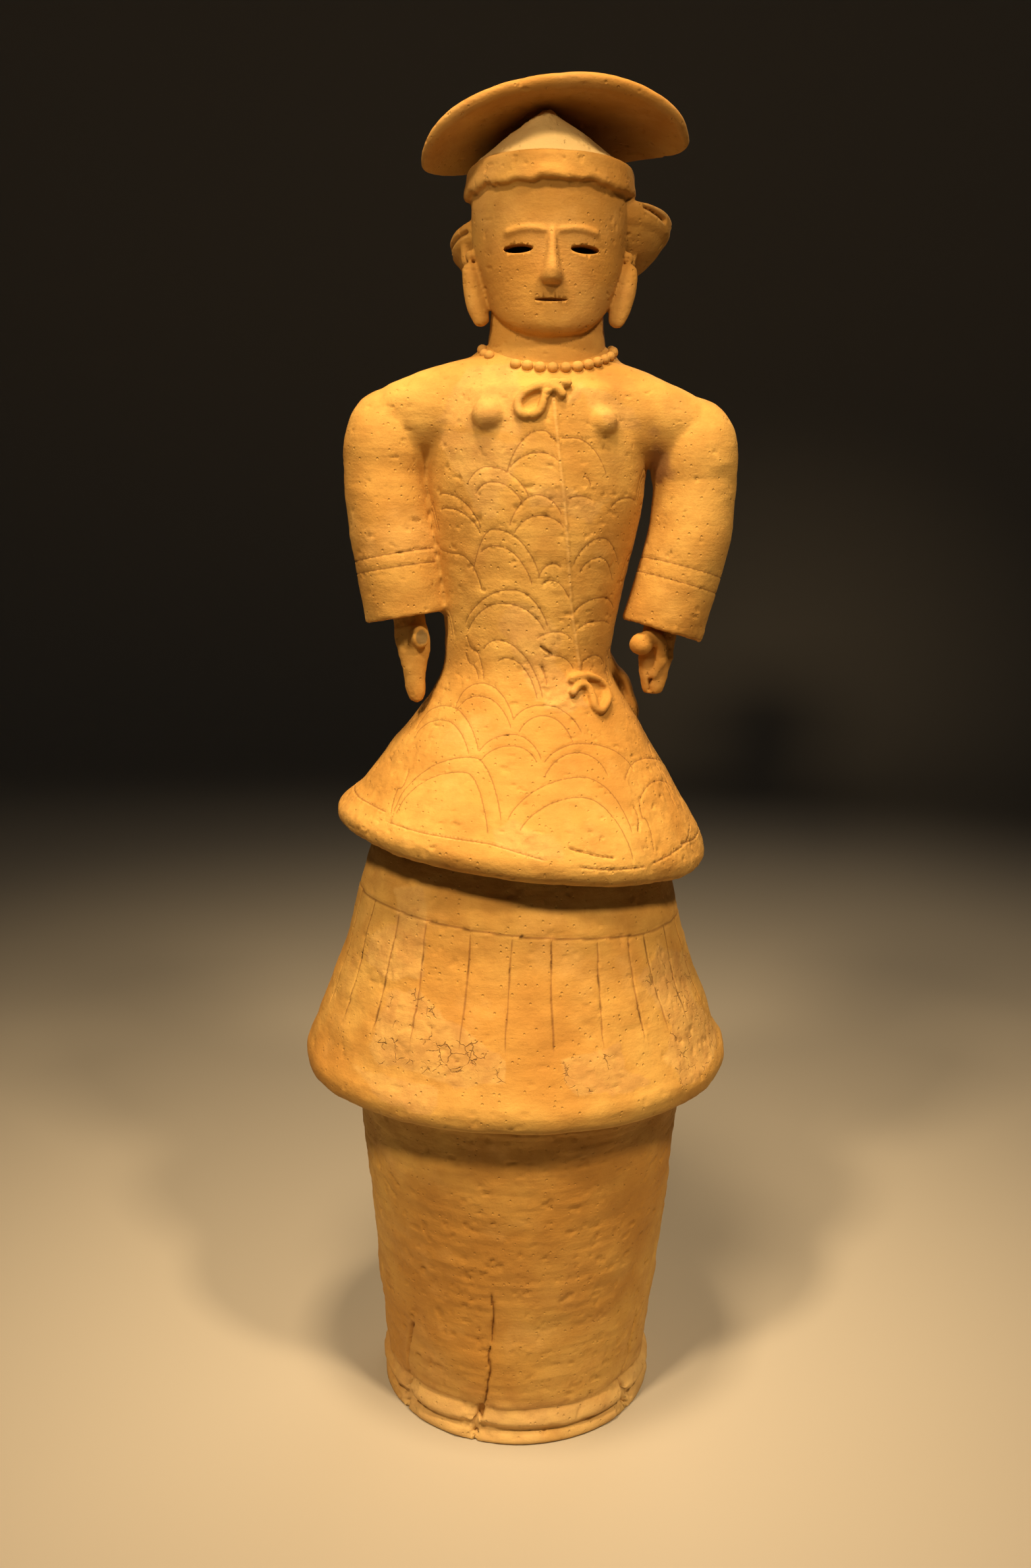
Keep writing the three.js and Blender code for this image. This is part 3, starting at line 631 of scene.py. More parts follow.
def skirt(around=680):
    """The skirt: a closed wall profile carried around an oval. The outside rises from the
    rolled hem to the waist, the inside comes down to the underside of the hem."""
    outside = profile_rows([
        (196, 351), (203, 353), (208.5, 357), (211.3, 363), (212.2, 370), (210.8, 377), (207, 384.5),
        (201.5, 396), (195, 413), (184.4, 440), (170, 480), (159, 521), (150, 560), (128, 640),
    ], 132)
    inside = np.array([
        (112, 640), (134, 560), (155, 480), (167, 440), (176, 405), (184, 375), (187, 358),
    ])
    profile = np.concatenate([outside, inside])
    turn = circle(around)
    half, z = profile[:, :1], profile[:, 1:]
    x, y = skirt_middle(z) + half * np.sin(turn), -SKIRT_DEPTH_RATIO * half * np.cos(turn)
    return looped(np.stack([x, y, z + 0 * turn], -1))


def top_line(turn):
    """Height of the scratched line under the jacket: it falls to the figure's left."""
    return 526 - 13 * np.sin(np.radians(turn))


def hem_line(turn):
    """Height of the scratched line above the hem."""
    return 391.5 + 11 * np.sin(np.radians(turn)) ** 2


def skirt_piece():
    """The skirt with its pleats, the lines above and below them and the worn places."""
    points, faces = skirt()
    normals = normals_of(points, faces)
    relief = Relief(points, normals, 2.0)
    chance = np.random.default_rng(4)
    turns = np.linspace(0, 360, 300)
    for level in (top_line, hem_line):
        for part in np.array_split(turns, 12):
            part = np.append(part, part[-1] + 1.21)
            heights = level(part) + 1.3 * noise(part[:, None] * np.ones(3), 30, 6.0)
            relief.scratch(round_skirt(np.radians(part), heights), 0.85, 1.0, ends=0)
    for places in SKIRT_CRACKS:
        relief.crack(drawn(on_skirt, places), 1.0, 2.0, 1.5)
    rest = np.arange(PLEATS[-1][0] + PLEAT_STEP, 360 + PLEATS[0][0] - 6, PLEAT_STEP)
    jitter = chance.normal(0, 0.8, (len(rest), 2))
    for high, low in PLEATS + [(a + j, a + k) for a, (j, k) in zip(rest, jitter)]:
        share = np.linspace(0, 1, 30)
        turn = high + (low - high) * share + 0.35 * noise(share[:, None] * np.ones(3) * 9, 2.5, high)
        z = top_line(high) + (hem_line(low) - top_line(high)) * share
        relief.scratch(round_skirt(np.radians(turn), z), 0.8, 0.95, burr=0.2, ends=0.04)
    outward = normals[:, 0] * points[:, 0] + normals[:, 1] * points[:, 1] + 5 * normals[:, 2]
    outside = ramp(0, 0.2, outward)
    low_behind = behind(points, 95, 0.35, 4.4) * ramp(450, 420, points[:, 2])
    crazed = np.maximum(patches(points, SKIRT_CRAZED), low_behind)
    repair = np.maximum(crazed, patches(points, SKIRT_REPAIRS))
    height = unevenness(points, 1.7) + pits(points, 4, 0.47, 1.0, 9.0)
    height += repair * (0.28 * rough(points, 6, 3, 7.0) + 0.2)
    height += crazed * pits(points, 4, 0.36, 1.0, 2.0)
    moved = relief.moved(height * outside)
    return mesh_object("pleated_skirt", moved, faces, relief.marks(repair=repair, crazed=crazed))


# ------------------------------------------------------------------ jacket, sleeves and hands

ARMS = {
    "right": {
        "line": [(-122, 2, 972), (-128, -3, 935), (-124.5, -8, 895), (-117, -12, 850), (-109, -16, 801)],
        "shoulder": (-127, 0, 953),
        "half": (40.5, 48, 58),
        "rings": (0.66, 0.73),
    },
    "left": {
        "line": [(157, 2, 966), (163, -3, 925), (160, -8, 890), (150.5, -12, 848), (134.5, -16, 791)],
        "shoulder": (162, 0, 947),
        "half": (41, 48, 60),
        "rings": (0.66, 0.74),
    },
}


def sleeve_half_depth(t):
    """The sleeve swells between the shoulder and the cuff."""
    return SLEEVE_HALF_DEPTH * (1 + 0.1 * np.sin(np.pi * np.clip(t, 0, 1)) - 0.03 * t)


def sleeve(arm):
    """A tube along the arm line. The wall turns in at the cuff and comes back up inside
    to the wrist, so that the sleeve is open around the hand."""
    out = np.linspace(0, 1, 60)
    back = np.array([1.004, 1.0, 0.97, 0.93, 0.87, 0.8, 0.77])
    t = np.concatenate([out, back])
    wall = np.concatenate([np.zeros(60), np.array([1.5, 5.5, 8, 9, 10, 13, 22])])
    start = np.sqrt(np.clip(t / 0.12, 0.2, 1))
    width = (SLEEVE_HALF_WIDTH - wall) * start
    depth = (sleeve_half_depth(t) - wall) * start
    return lofted(carried(line_through(arm["line"]), t, width, depth, 72))


def shoulder_beam():
    """The shoulders: a beam of half-oval section from one sleeve to the other; its height
    and depth grow towards the neck as 1 - t squared."""
    left, right = ARMS["right"]["shoulder"][0], ARMS["left"]["shoulder"][0]
    middle, half = (left + right) / 2, (right - left) / 2
    t = np.linspace(-1, 1, 61)[:, None]
    turn = circle(64)[None, :]
    inner = 1 - t * t
    up = np.sin(turn)
    x = middle + half * t + 0 * turn
    across = np.cos(turn)
    y = -(33 + 18 * np.sqrt(inner)) * np.sign(across) * np.abs(across) ** 0.75
    z = 990 - 3 * t + np.where(up > 0, up * (20 + 36 * inner), 44 * up)
    return lofted(np.stack([x, y, z], -1))


def jacket_body():
    """The jacket: level ovals from the thick flaring hem up to the neck, the hem tilted."""
    heights = np.concatenate([np.linspace(581, 640, 32), np.linspace(643, 1056, 140)])
    rings = stack(heights, 300, jacket_width, jacket_depth, jacket_middle)
    rings[..., 2] += hem_drop(rings[..., 0], rings[..., 2])
    rings[..., 2] += 0.42 * np.minimum(rings[..., 1], 0) * ramp(1008, 1045, rings[..., 2])
    return lofted(rings)


def mitten(places, depth, outline):
    """A flat hand: ovals along a line, their half width in millimetres given by an outline,
    their half depth thinning a little with it."""
    t = eased(50)
    width = through(outline)(t)
    thinned = depth * (width / width.max()) ** 0.6
    return lofted(carried(line_through(places), t, width, thinned, 40))


def right_hand():
    """The right hand: its thumb has broken off and left a short stump that faces front
    and shows the grey core of the clay."""
    palm = mitten(
        [(-113, -14, 868), (-106, -19, 800), (-101.5, -24, 768), (-100, -27, 740), (-97.5, -28, 721)],
        10,
        [(0, 14.5), (0.46, 15.5), (0.58, 16.5), (0.68, 14.6), (0.77, 11.8), (0.87, 10.6), (0.94, 9.2),
         (0.985, 6.5), (1, 1.5)],
    )
    t = np.concatenate([np.linspace(0, 0.93, 18), [0.97, 1.0, 1.0]])
    end = np.concatenate([np.linspace(0.75, 1, 18), [1.0, 0.9, 0.72]])
    line = line_through([(-109, -15, 781), (-101, -26, 784), (-93.5, -39, 785)])
    stump = lofted(carried(line, t, 8.2 * end, 10.6 * end, 36, (0, 0, 1)))
    return [palm, stump]


STUMP_FACE = np.array([-92.5, -39, 784.5])
FINGER_SPLIT = [(-110.5, -31.5, 757), (-109, -33.5, 742), (-106.5, -34.5, 728)]
FINGER_NOTCH = [(122.5, -35, 747), (121.5, -35, 738), (120.5, -33, 730)]


def left_hand():
    """The left hand, shorter: the thumb is a ball on a bent root, the fingers are broken
    off in a ragged edge."""
    palm = mitten(
        [(147, -13, 858), (135, -18, 800), (128.5, -23, 770), (127, -25, 753), (126, -27, 731)],
        9.5,
        [(0, 14), (0.46, 15.5), (0.7, 16.2), (0.82, 14.6), (0.92, 12.4), (0.975, 10.5), (1, 7)],
    )
    thumb = ball((113, -38, 779.5), (10.8, 10, 10.4))
    root = strand([
        (113, -40, 782), (119, -40, 786.5), (127, -37, 784.5), (132.5, -34, 777), (133, -32, 767),
        (129, -32, 756), (124.5, -32, 744),
    ], 6.6, 50, 20, taper=0.3)
    return [palm, thumb, root]


def tie(places, lift, radius):
    """A clay cord laid on the front of the jacket."""
    x, z = np.array(places, float).T
    return strand(on_jacket(x, z, lift), radius, 60, 14)


# Each tie: its (x, z) places, its radius and how far its middle stands off the jacket.
CHEST_TIE = [
    ([(42, 1014), (31, 1014.5), (17, 1012), (5, 1008), (-4, 1001), (-6, 996), (-5, 989),
      (4, 985)], 3.9, 2.4),
    ([(4, 985), (11, 988), (15, 993), (17, 1000), (20, 1007), (25, 1010), (31, 1007),
      (35, 1001)], 3.7, 3.4),
]
WAIST_TIE = [
    ([(44, 748.5), (50, 752.5), (58, 753), (66, 751), (74, 747), (80, 740), (82, 732), (79, 725),
      (73, 721.5), (68, 726), (65.5, 735), (62, 743), (56, 746), (51, 743.5), (46.5, 737)], 3.9, 3.6),
]
SEAM = [
    (25.5, 1000), (28, 978), (30.5, 957), (33.5, 933), (36.5, 909), (38.7, 887), (40.5, 866),
    (42.4, 845), (44, 826), (46, 808), (48.5, 793), (51, 776), (54, 759),
]


def chest():
    """Breasts, ties and the closing edge down the front."""
    breasts = [
        ball(on_jacket(-32, 987) + (0, 1, 0), (15, 14, 15)),
        ball(on_jacket(71, 981) + (0, 2, 0), (14, 12, 13)),
    ]
    ties = [tie(places, lift, radius) for places, radius, lift in CHEST_TIE + WAIST_TIE]
    x, z = np.array(SEAM, float).T
    edge = strand(on_jacket(x, z, -0.7), 2.2, 90, 10)
    return breasts, ties + [edge]


def hip_flap():
    """A narrow plate of clay that stands off the left hip."""
    places = [(80, 1, 772), (91, 2, 752), (101.5, 3, 741), (107, 4, 727), (112, 4, 710), (112, 4, 700)]
    t = eased(50)
    end = np.sqrt(np.clip(np.minimum(t, 1 - t) / 0.06, 0.05, 1))
    thick = (4 + 1.6 * np.sin(np.pi * t)) * end
    return lofted(carried(line_through(places), t, thick, 12 * end, 28))


# Feet and top of the arches scratched in the jacket's front: (x, z) of the left foot, the
# top and the right foot, one arch for each line. Two nearly even arches make one wave.
ARCHES = [
    ((-15, 934), (15, 973), (30, 957)), ((-12.8, 939), (14.5, 954), (30.7, 945)),
    ((32.5, 966), (43, 967), (75, 932)), ((54.8, 937), (57, 932), (60.6, 924)),
    ((-50.6, 923), (-32.3, 941), (4.3, 914)), ((-43, 916), (-28, 928), (-1, 908)),
    ((-77, 915.5), (-72.6, 917), (-38, 884)), ((-75, 902), (-70, 904), (-38.8, 881)),
    ((-12.3, 887.6), (12.3, 917), (34.3, 898)), ((-8, 882), (14.6, 899), (36.5, 887.5)),
    ((40, 913), (50.4, 916.4), (62.3, 912)), ((80, 905.5), (95, 915), (104, 911)),
    ((-45, 844), (-26.5, 886.6), (14.8, 843.5)), ((-38.7, 864), (-25, 871.4), (8.8, 834)),
    ((46, 853), (72.5, 879), (90, 851)), ((52, 847), (71, 861.4), (84, 837.5)),
    ((14, 842), (28, 856.5), (34.5, 852.4)), ((17.7, 837), (25, 841.3), (43.6, 820)),
    ((-76.5, 868), (-60, 863), (-37, 828)),
    ((-53, 795.6), (-10, 832.5), (23.8, 796)), ((-50.4, 789), (-17.7, 820), (21, 793)),
    ((48, 810.5), (74.7, 824.5), (86.5, 812)), ((52, 795.6), (72, 802.5), (83, 797.5)),
    ((13.6, 787.5), (32, 794.3), (46.6, 785)), ((20, 771), (29.8, 772.5), (48.5, 758)),
    ((-35, 775.8), (-22, 786), (20, 731)), ((-22, 765.6), (-13.8, 770), (14.7, 731)),
    ((56.5, 764), (69, 770), (79, 759)),
    ((-50.3, 787.5), (-43, 775), (-34.5, 746.6)), ((-51.7, 773), (-46, 762), (-39.5, 748)),
    ((-61, 722), (-35, 746), (-7.4, 715)), ((-61, 718), (-36.5, 734.7), (-9.4, 707)),
    ((-7.4, 715), (17.5, 729), (55.7, 702)), ((-2.5, 704.5), (19.5, 720), (47, 695)),
    ((-99.4, 696.4), (-66, 723), (-38.8, 687)), ((-99, 692.6), (-70, 711), (-47.7, 684)),
    ((-38, 687.5), (-7.4, 704), (18, 682)), ((-36, 681), (-7.4, 694.6), (14, 680)),
    ((20.6, 680), (52.7, 695.4), (105.4, 666)), ((20.5, 667), (49, 688), (80, 665)),
    ((-117, 628), (-43, 683.5), (-18, 630)), ((-114, 628), (-50.6, 671), (-29.7, 620)),
    ((-12.8, 632), (51, 668), (101, 614)), ((-2, 624), (50.6, 651.6), (101, 592)),
    ((96, 660), (111, 674.5), (164, 616)), ((110, 640), (124.8, 654), (158.5, 620)),
    ((-119, 628), (-112, 650), (-104, 668)), ((109.7, 642), (113, 628), (121.6, 597)),
]


# Places on the jacket's front: mended with smooth plaster, with rough plaster, and stained.
JACKET_REPAIRS = [
    [(-75, 976), (-3, 961), (-1, 954), (-9, 934), (-21, 918), (-24, 897), (-32, 894), (-43, 907),
     (-53, 925), (-65, 942), (-76, 960)],
    [(-52, 1028), (-8, 1032), (-2, 1003), (-3, 969), (-56, 975), (-80, 980), (-63, 1004)],
    [(48, 1011), (64, 1010), (99, 994), (108, 977), (79, 976), (58, 990)],
    [(7, 923), (43, 923), (60, 913), (77, 913), (61, 891), (35, 903), (7, 907)],
    [(-10, 826), (12, 818), (38, 793), (30, 768), (51, 743), (13, 732), (-4, 768), (-21, 800)],
    [(-26, 628), (-8, 635), (18, 626), (39, 618), (36, 603), (18, 602), (-26, 614)],
]
JACKET_RUBBLE = [
    [(22, 736), (38, 749), (56, 738), (60, 726), (38, 722), (21, 724)],
    [(-18, 626), (-4, 632), (14, 624), (10, 612), (-16, 616)],
    [(44, 1013), (52, 1014), (50, 1000), (40, 998)],
]
ARM_STAIN = [(118, 976), (133, 956), (139, 932), (126, 928), (115, 952)]
JACKET_GOUGES = [
    [(16, 782), (22, 777), (28, 773)],
    [(18, 764), (22, 752), (24, 745)],
    [(40, 612), (60, 606), (84, 600)],
    [(104, 640), (108, 628), (107, 618)],
]


def arch(left, top, right, count=34):
    """Points (x, z) of an arch: half a sum of an ellipse and a steep parabola over each
    side, so that the feet stand nearly upright and the top is round."""
    u = np.sin(np.linspace(-np.pi / 2, np.pi / 2, count))
    foot = np.where(u < 0, left[1], right[1])
    reach = np.where(u < 0, top[0] - left[0], right[0] - top[0])
    shape = 0.5 * np.sqrt(np.clip(1 - u * u, 0, 1)) + 0.5 * (1 - np.abs(u) ** 2.2)
    return top[0] + reach * u, foot + (top[1] - foot) * shape


def waves_behind(relief):
    """The same double arches round the sides and the back, in rows set off by half."""
    chance = np.random.default_rng(8)
    # height of the feet, span and rise of the arches in each row
    rows = [
        (915, 38, 30), (875, 40, 30), (830, 42, 32), (785, 44, 32), (735, 40, 36), (690, 52, 40),
        (640, 78, 50),
    ]
    for k, (level, span, rise) in enumerate(rows):
        radius = float(jacket_width(level))
        step = span * 1.02 / radius
        for turn in np.arange(1.35 + 0.5 * step * (k % 2), 2 * np.pi - 1.3, step):
            turn, level_here = turn + chance.normal(0, 0.03), level + chance.normal(0, 3)
            for inset in (0, 0.24):
                half = span * 0.5 * (1 - inset)
                x, z = arch((-half, 0), (chance.normal(0, 2), rise * (1 - inset)), (half, 0))
                line = round_jacket(turn + x / radius, level_here + z)
                relief.scratch(line, 0.75, 0.95, burr=0.25)


def hem_border(relief):
    """The line scratched above the hem, all the way round, broken in front."""
    front = [
        [(-129, 625), (-92, 620.5), (-29, 616), (-20, 614), (27.5, 601)],
        [(49, 596), (80, 591), (115, 588.6)],
        [(118, 590), (140, 594), (158, 599), (165, 611)],
    ]
    for places in front:
        x, z = curve([(x, 0, z) for x, z in places], 40)[:, [0, 2]].T
        relief.scratch(on_jacket(x, z), 0.9, 1.3)
    for part in np.array_split(np.linspace(1.0, 2 * np.pi - 0.95, 120), 6):
        wander = 2 * noise(part[:, None] * np.ones(3), 0.5, 2.2)
        line = round_jacket(np.append(part, part[-1] + 0.04), np.append(wander, wander[-1]) + 616)
        relief.scratch(line, 0.9, 1.2, ends=0)


def sleeve_rings(relief):
    """Two lines scratched round each sleeve above the cuff."""
    for arm in ARMS.values():
        line = line_through(arm["line"])
        for share in arm["rings"]:
            width, depth = [SLEEVE_HALF_WIDTH], [sleeve_half_depth(share)]
            ring = carried(line, [share], width, depth, 60)[0]
            relief.scratch(np.concatenate([ring, ring[:1]]), 0.7, 0.8, burr=0.25, ends=0)


jacket_inner_width = through([
    (560, 156), (590, 158), (612, 155), (640, 138), (680, 110), (735, 74), (752, 66), (766, 63.5),
    (820, 69), (884, 81), (922, 86), (985, 85), (1010, 74), (1030, 50), (1044, 37), (1070, 36),
])
jacket_inner_depth = through([
    (560, 146), (590, 148), (612, 143), (640, 127), (680, 102), (735, 69), (766, 60), (850, 63),
    (922, 66), (985, 62), (1010, 53), (1030, 42), (1044, 36), (1070, 35),
])


def jacket_hollow():
    """The empty inside of the jacket, open below at the hem and above into the neck."""
    heights = np.concatenate([np.linspace(560, 760, 24), np.linspace(770, 1070, 36)])
    rings = stack(heights, 72, jacket_inner_width, jacket_inner_depth, jacket_middle)
    rings[..., 2] += hem_drop(rings[..., 0], rings[..., 2])
    return lofted(rings)


def jacket_piece(voxel=1.5):
    """The jacket with its sleeves, hands and ties, its scratches and its hollow."""
    breasts, small = chest()
    sleeves = [sleeve(arm) for arm in ARMS.values()]
    shoulders = [ball(arm["shoulder"], arm["half"], 40, 60) for arm in ARMS.values()]
    points, quads = one_skin([jacket_body(), shoulder_beam(), *shoulders, *sleeves, *breasts], 2.2)
    top = ramp(985, 1010, points[:, 2]) * ramp(1046, 1030, points[:, 2])
    points = smoothed(points, quads, 14, np.maximum(top, 0.35 * ramp(900, 940, points[:, 2])))
    points = smoothed(points, quads, 2)
    laid_on = [*small, *right_hand(), *left_hand(), hip_flap()]
    points, quads = one_skin([(points, [quads]), *laid_on], voxel)
    points = smoothed(points, quads, 4, keep_size=True)
    points = smoothed(points, quads, 1)
    normals = normals_of(points, [quads])
    relief = Relief(points, normals, voxel)
    for left, top, right in ARCHES:
        x, z = arch(left, top, right)
        relief.scratch(on_jacket(x, z), 0.75, 0.8, burr=0.2)
    for places in JACKET_GOUGES:
        relief.crack(drawn(on_jacket, places), 1.4, 2.0, 1.0)
    relief.crack(curve(FINGER_SPLIT, 30), 1.2, 4.0, 0.5)
    relief.crack(curve(FINGER_NOTCH, 30), 2.4, 6.0, 0.5)
    index, gap, _, _ = relief.near(drawn(on_jacket, SEAM, 60), 5)
    relief.lip[index] = np.maximum(relief.lip[index], 0.7 * np.exp(-((gap / 1.5) ** 2)))
    waves_behind(relief)
    hem_border(relief)
    sleeve_rings(relief)
    repair = np.maximum(patches(points, JACKET_REPAIRS), 0.8 * behind(points, 80, 0.42, 6.1))
    rubble = patches(points, JACKET_RUBBLE, 4, 7)
    stain = patches(points, [ARM_STAIN], 9, 8)
    height = unevenness(points, 1.3) + pits(points, 4, 0.48, 0.9, 5.0)
    height += rubble * (1.1 * rough(points, 7, 3, 7.0) + 0.4) + repair * 0.25 * rough(points, 5, 2, 1.0)
    hands = ramp(812, 800, points[:, 2]) * ramp(-8, -16, points[:, 1]) * (np.abs(points[:, 0] - 12) > 88)
    height += hands * (0.5 * rough(points, 6, 3, 2.0))
    moved = relief.moved(height)
    core = ramp(8, 5.5, np.linalg.norm(points - STUMP_FACE, axis=1)) * ramp(0.5, 0.9, -normals[:, 1])
    marks = relief.marks(repair=np.maximum(0.8 * repair, rubble), stain=stain, core=core)
    obj = lighter(mesh_object("jacket", moved, [quads], marks), 185_000)
    cut_away(obj, [jacket_hollow()])
    return obj


def lighter(obj, most=190_000):
    """Thins flat parts of the mesh until it is under the given number of triangles."""
    triangles = 2 * len(obj.data.polygons)
    if triangles > most:
        thin = obj.modifiers.new("thin", "DECIMATE")
        thin.ratio = most / triangles
        apply_modifiers(obj)
    return obj


# ------------------------------------------------------------------ head

head_width = through([
    (1052, 44), (1058, 50), (1066, 55), (1082, 59.5), (1100, 63.5), (1120, 67), (1145, 70),
    (1170, 71), (1200, 70.5), (1206, 66), (1213, 57.5), (1220, 50), (1227, 42), (1235, 27),
    (1244, 8),
])
head_depth = through([
    (1052, 46), (1058, 54), (1066, 59), (1082, 62), (1120, 67), (1170, 71), (1200, 72),
    (1206, 69), (1213, 66), (1227, 59), (1235, 52), (1244, 42),
])
head_middle = through([(1052, HEAD_X), (1200, HEAD_X), (1213, 19), (1244, 19)])


def neck():
    """The neck: a turned profile that widens into the shoulders."""
    z = np.linspace(1020, 1100, 24)
    size = through([(1020, 59), (1038, 56.5), (1052, 54.5), (1070, 52.5), (1100, 51)])
    return lofted(stack(z, 120, size, lambda h: size(h) - 5, lambda h: HEAD_X - 1 + 0 * h, 5))


def head():
    """The head: level ovals; the underside rises from the chin to the ears."""
    rings = stack(np.linspace(1052, 1244, 80), 160, head_width, head_depth, head_middle)
    low = 1 - ramp(1052, 1130, rings[..., 2])
    rings[..., 2] += 22 * ramp(-60, 5, rings[..., 1]) * low
    under_board = ramp(1210, 1236, rings[..., 2])
    rings[..., 2] -= BOARD_PITCH * np.maximum(rings[..., 1] + 42, 0) * under_board
    return lofted(rings)


def headband():
    """The band around the head, a round-edged strap whose lower edge is torn and wavy and
    stands off the brow."""
    turn = circle(220)
    brow = ramp(-0.2, 1, np.cos(turn))
    place = np.stack([120 * np.sin(turn), 120 * np.cos(turn), 0 * turn], -1)
    torn = 2.6 * noise(place, 17, 2.4) + 1.3 * noise(place, 7, 5.1)
    low = -BAND_HEIGHT / 2 + 3 + torn
    proud = 1.2 * noise(place, 23, 8.0)
    section = [
        (0.80, low + 1), (0.93, low), (1.0, low + 0.5), (1.022, low + 3.5), (1.012, low + 8),
        (1.0, 2 + 0 * low), (0.992, BAND_HEIGHT / 2 - 4 + 0 * low), (0.975, BAND_HEIGHT / 2 - 1 + 0 * low),
        (0.93, BAND_HEIGHT / 2 + 0 * low), (0.80, BAND_HEIGHT / 2 + 0 * low),
    ]
    rings = []
    for share, height in section:
        grow = share + 0.012 * proud * (height < 0)
        x = HEAD_X + 76 * grow * np.sin(turn)
        y = -78 * grow * np.cos(turn)
        rings.append(np.stack([x, y, BAND_Z - 4 + height + 7 * brow], -1))
    return lofted(np.array(rings)[:, ::-1])


def bezier(a, b, c, d, count):
    """Points of a cubic Bezier curve, without its last one."""
    t = np.linspace(0, 1, count, endpoint=False)[:, None]
    a, b, c, d = (np.array(p, float) for p in (a, b, c, d))
    return (1 - t) ** 3 * a + 3 * (1 - t) ** 2 * t * b + 3 * (1 - t) * t**2 * c + t**3 * d


def board_plan():
    """Plan of the hair board: wide front lobe, waist and smaller back lobe."""
    w = BOARD_HALF_WIDTH
    return np.concatenate([
        bezier((0, -92), (60, -94), (w - 8, -68), (w, -8), 48),
        bezier((w, -8), (w + 2, 18), (84, 40), (62, 58), 40),
        bezier((62, 58), (60, 76), (78, 88), (74, 108), 24),
        bezier((74, 108), (68, 128), (28, 132), (0, 132), 30),
        bezier((0, 132), (-28, 132), (-68, 128), (-74, 108), 30),
        bezier((-74, 108), (-78, 88), (-60, 76), (-62, 58), 24),
        bezier((-62, 58), (-84, 44), (-w - 2, 22), (-w, -8), 40),
        bezier((-w, -8), (-w + 4, -80), (-66, -96), (0, -92), 48),
    ])


def board_surface(x, y, height):
    """Bends the flat board: rolled up to the left side, pitched up in front, arched down
    at both sides with the square of the width."""
    side = x / BOARD_HALF_WIDTH
    rise = BOARD_ROLL * x - BOARD_PITCH * y - BOARD_SAG * side * side
    return np.stack([x + BOARD_X, y, BOARD_Z + rise + height], -1)


def hair_board():
    """The hair board: its plan drawn in towards the middle on both faces, with a round
    rim of half an ellipse between them."""
    plan = board_plan()
    reach = np.linalg.norm(plan, axis=1)
    half = BOARD_THICKNESS / 2
    rim = np.linspace(-np.pi / 2, np.pi / 2, 13)
    flat = np.linspace(0.05, 0.93, 40)
    hollow = BOARD_HOLLOW * ramp(1.0, 0.5, flat)
    share = np.concatenate([flat, np.ones(13), flat[::-1]])[:, None]
    inset = np.concatenate([0 * flat, half * 1.25 * (1 - np.cos(rim)), 0 * flat])[:, None]
    height = np.concatenate([hollow - half, half * np.sin(rim), half + 0 * flat])[:, None]
    scale = share - inset / reach
    return lofted(board_surface(scale * plan[:, 0], scale * plan[:, 1], height))


def back_hair():
    """The brim of back hair: a shallow bowl turned about Z with a thick rim, rolled to one
    side like the hair board and pitched up in front."""
    profile = profile_rows([
        (3, -44), (50, -43), (71.7, -34.3), (83.3, -26.3), (93.5, -16), (97.5, -10), (99.5, -8.2),
        (102, -5), (103, 0), (103.8, 5), (103, 8.5), (99.5, 10.5), (90, 11), (60, 11), (3, 11),
    ], 90)
    turn = circle(220)
    rim = round_brim(turn, profile[:, :1] / BRIM_RADIUS)
    rim[..., 2] += profile[:, 1:]
    return lofted(rim)


def round_brim(turn, share=1.0):
    """Places on the middle line of the brim's rim, or at a share of the way out to it."""
    x = share * BRIM_RADIUS * np.sin(turn)
    y = -0.71 * share * BRIM_RADIUS * np.cos(turn)
    return np.stack([x + BOARD_X + 8.5, y + 42, BRIM_Z - 8 + BOARD_ROLL * x - 0.23 * y], -1)


def ears():
    """Each ear: a bent rim, a lobe and a pendant."""
    parts = []
    for side in (-1, 1):
        x = HEAD_X + side * 71
        rim = [(x, 10, 1144), (x + side * 6, 13, 1136), (x + side * 5, 8, 1125), (x, -2, 1121)]
        parts.append(strand(rim, 4, 24, 16, (0, -1, 0.02)))
        parts.append(ball((x + side, -5, 1128), (5, 6, 5.5)))
        parts.append(pendant(side))
    return parts


def pendant(side):
    """A flat clay tongue from the ear down along the jaw, its end rounded."""
    top, low = (HEAD_X + side * 73, -10, 1123), (HEAD_X + side * 60, -14, 1066)
    t = eased(40)
    outline = [(0, 0.1), (0.08, 0.72), (0.3, 0.95), (0.6, 1), (0.85, 0.82), (0.96, 0.6), (1, 0.1)]
    size = through(outline)(t)
    middle = ((top[0] + low[0]) / 2 + side * 1.5, -13, 1095)
    return lofted(carried(line_through([top, middle, low]), t, 10 * size, 7.5 * size, 32))


def on_face(x, z, proud=0.0):
    """Places on the front of the head, x counted from its middle."""
    x, z = np.broadcast_arrays(np.asarray(x, float), np.asarray(z, float))
    across = np.clip(x / head_width(z), -1, 1)
    return np.stack([HEAD_X + x, -head_depth(z) * np.sqrt(1 - across * across) - proud, z], -1)


FACE_THIRD = (HAIRLINE - HEAD_BOTTOM) / 3
BROW_Z = HAIRLINE - FACE_THIRD
NOSE_BASE_Z = BROW_Z - FACE_THIRD
EYE_Z = BROW_Z - 12
MOUTH_Z = HEAD_BOTTOM + FACE_THIRD * 2 / 3
EYE_HALF = 14


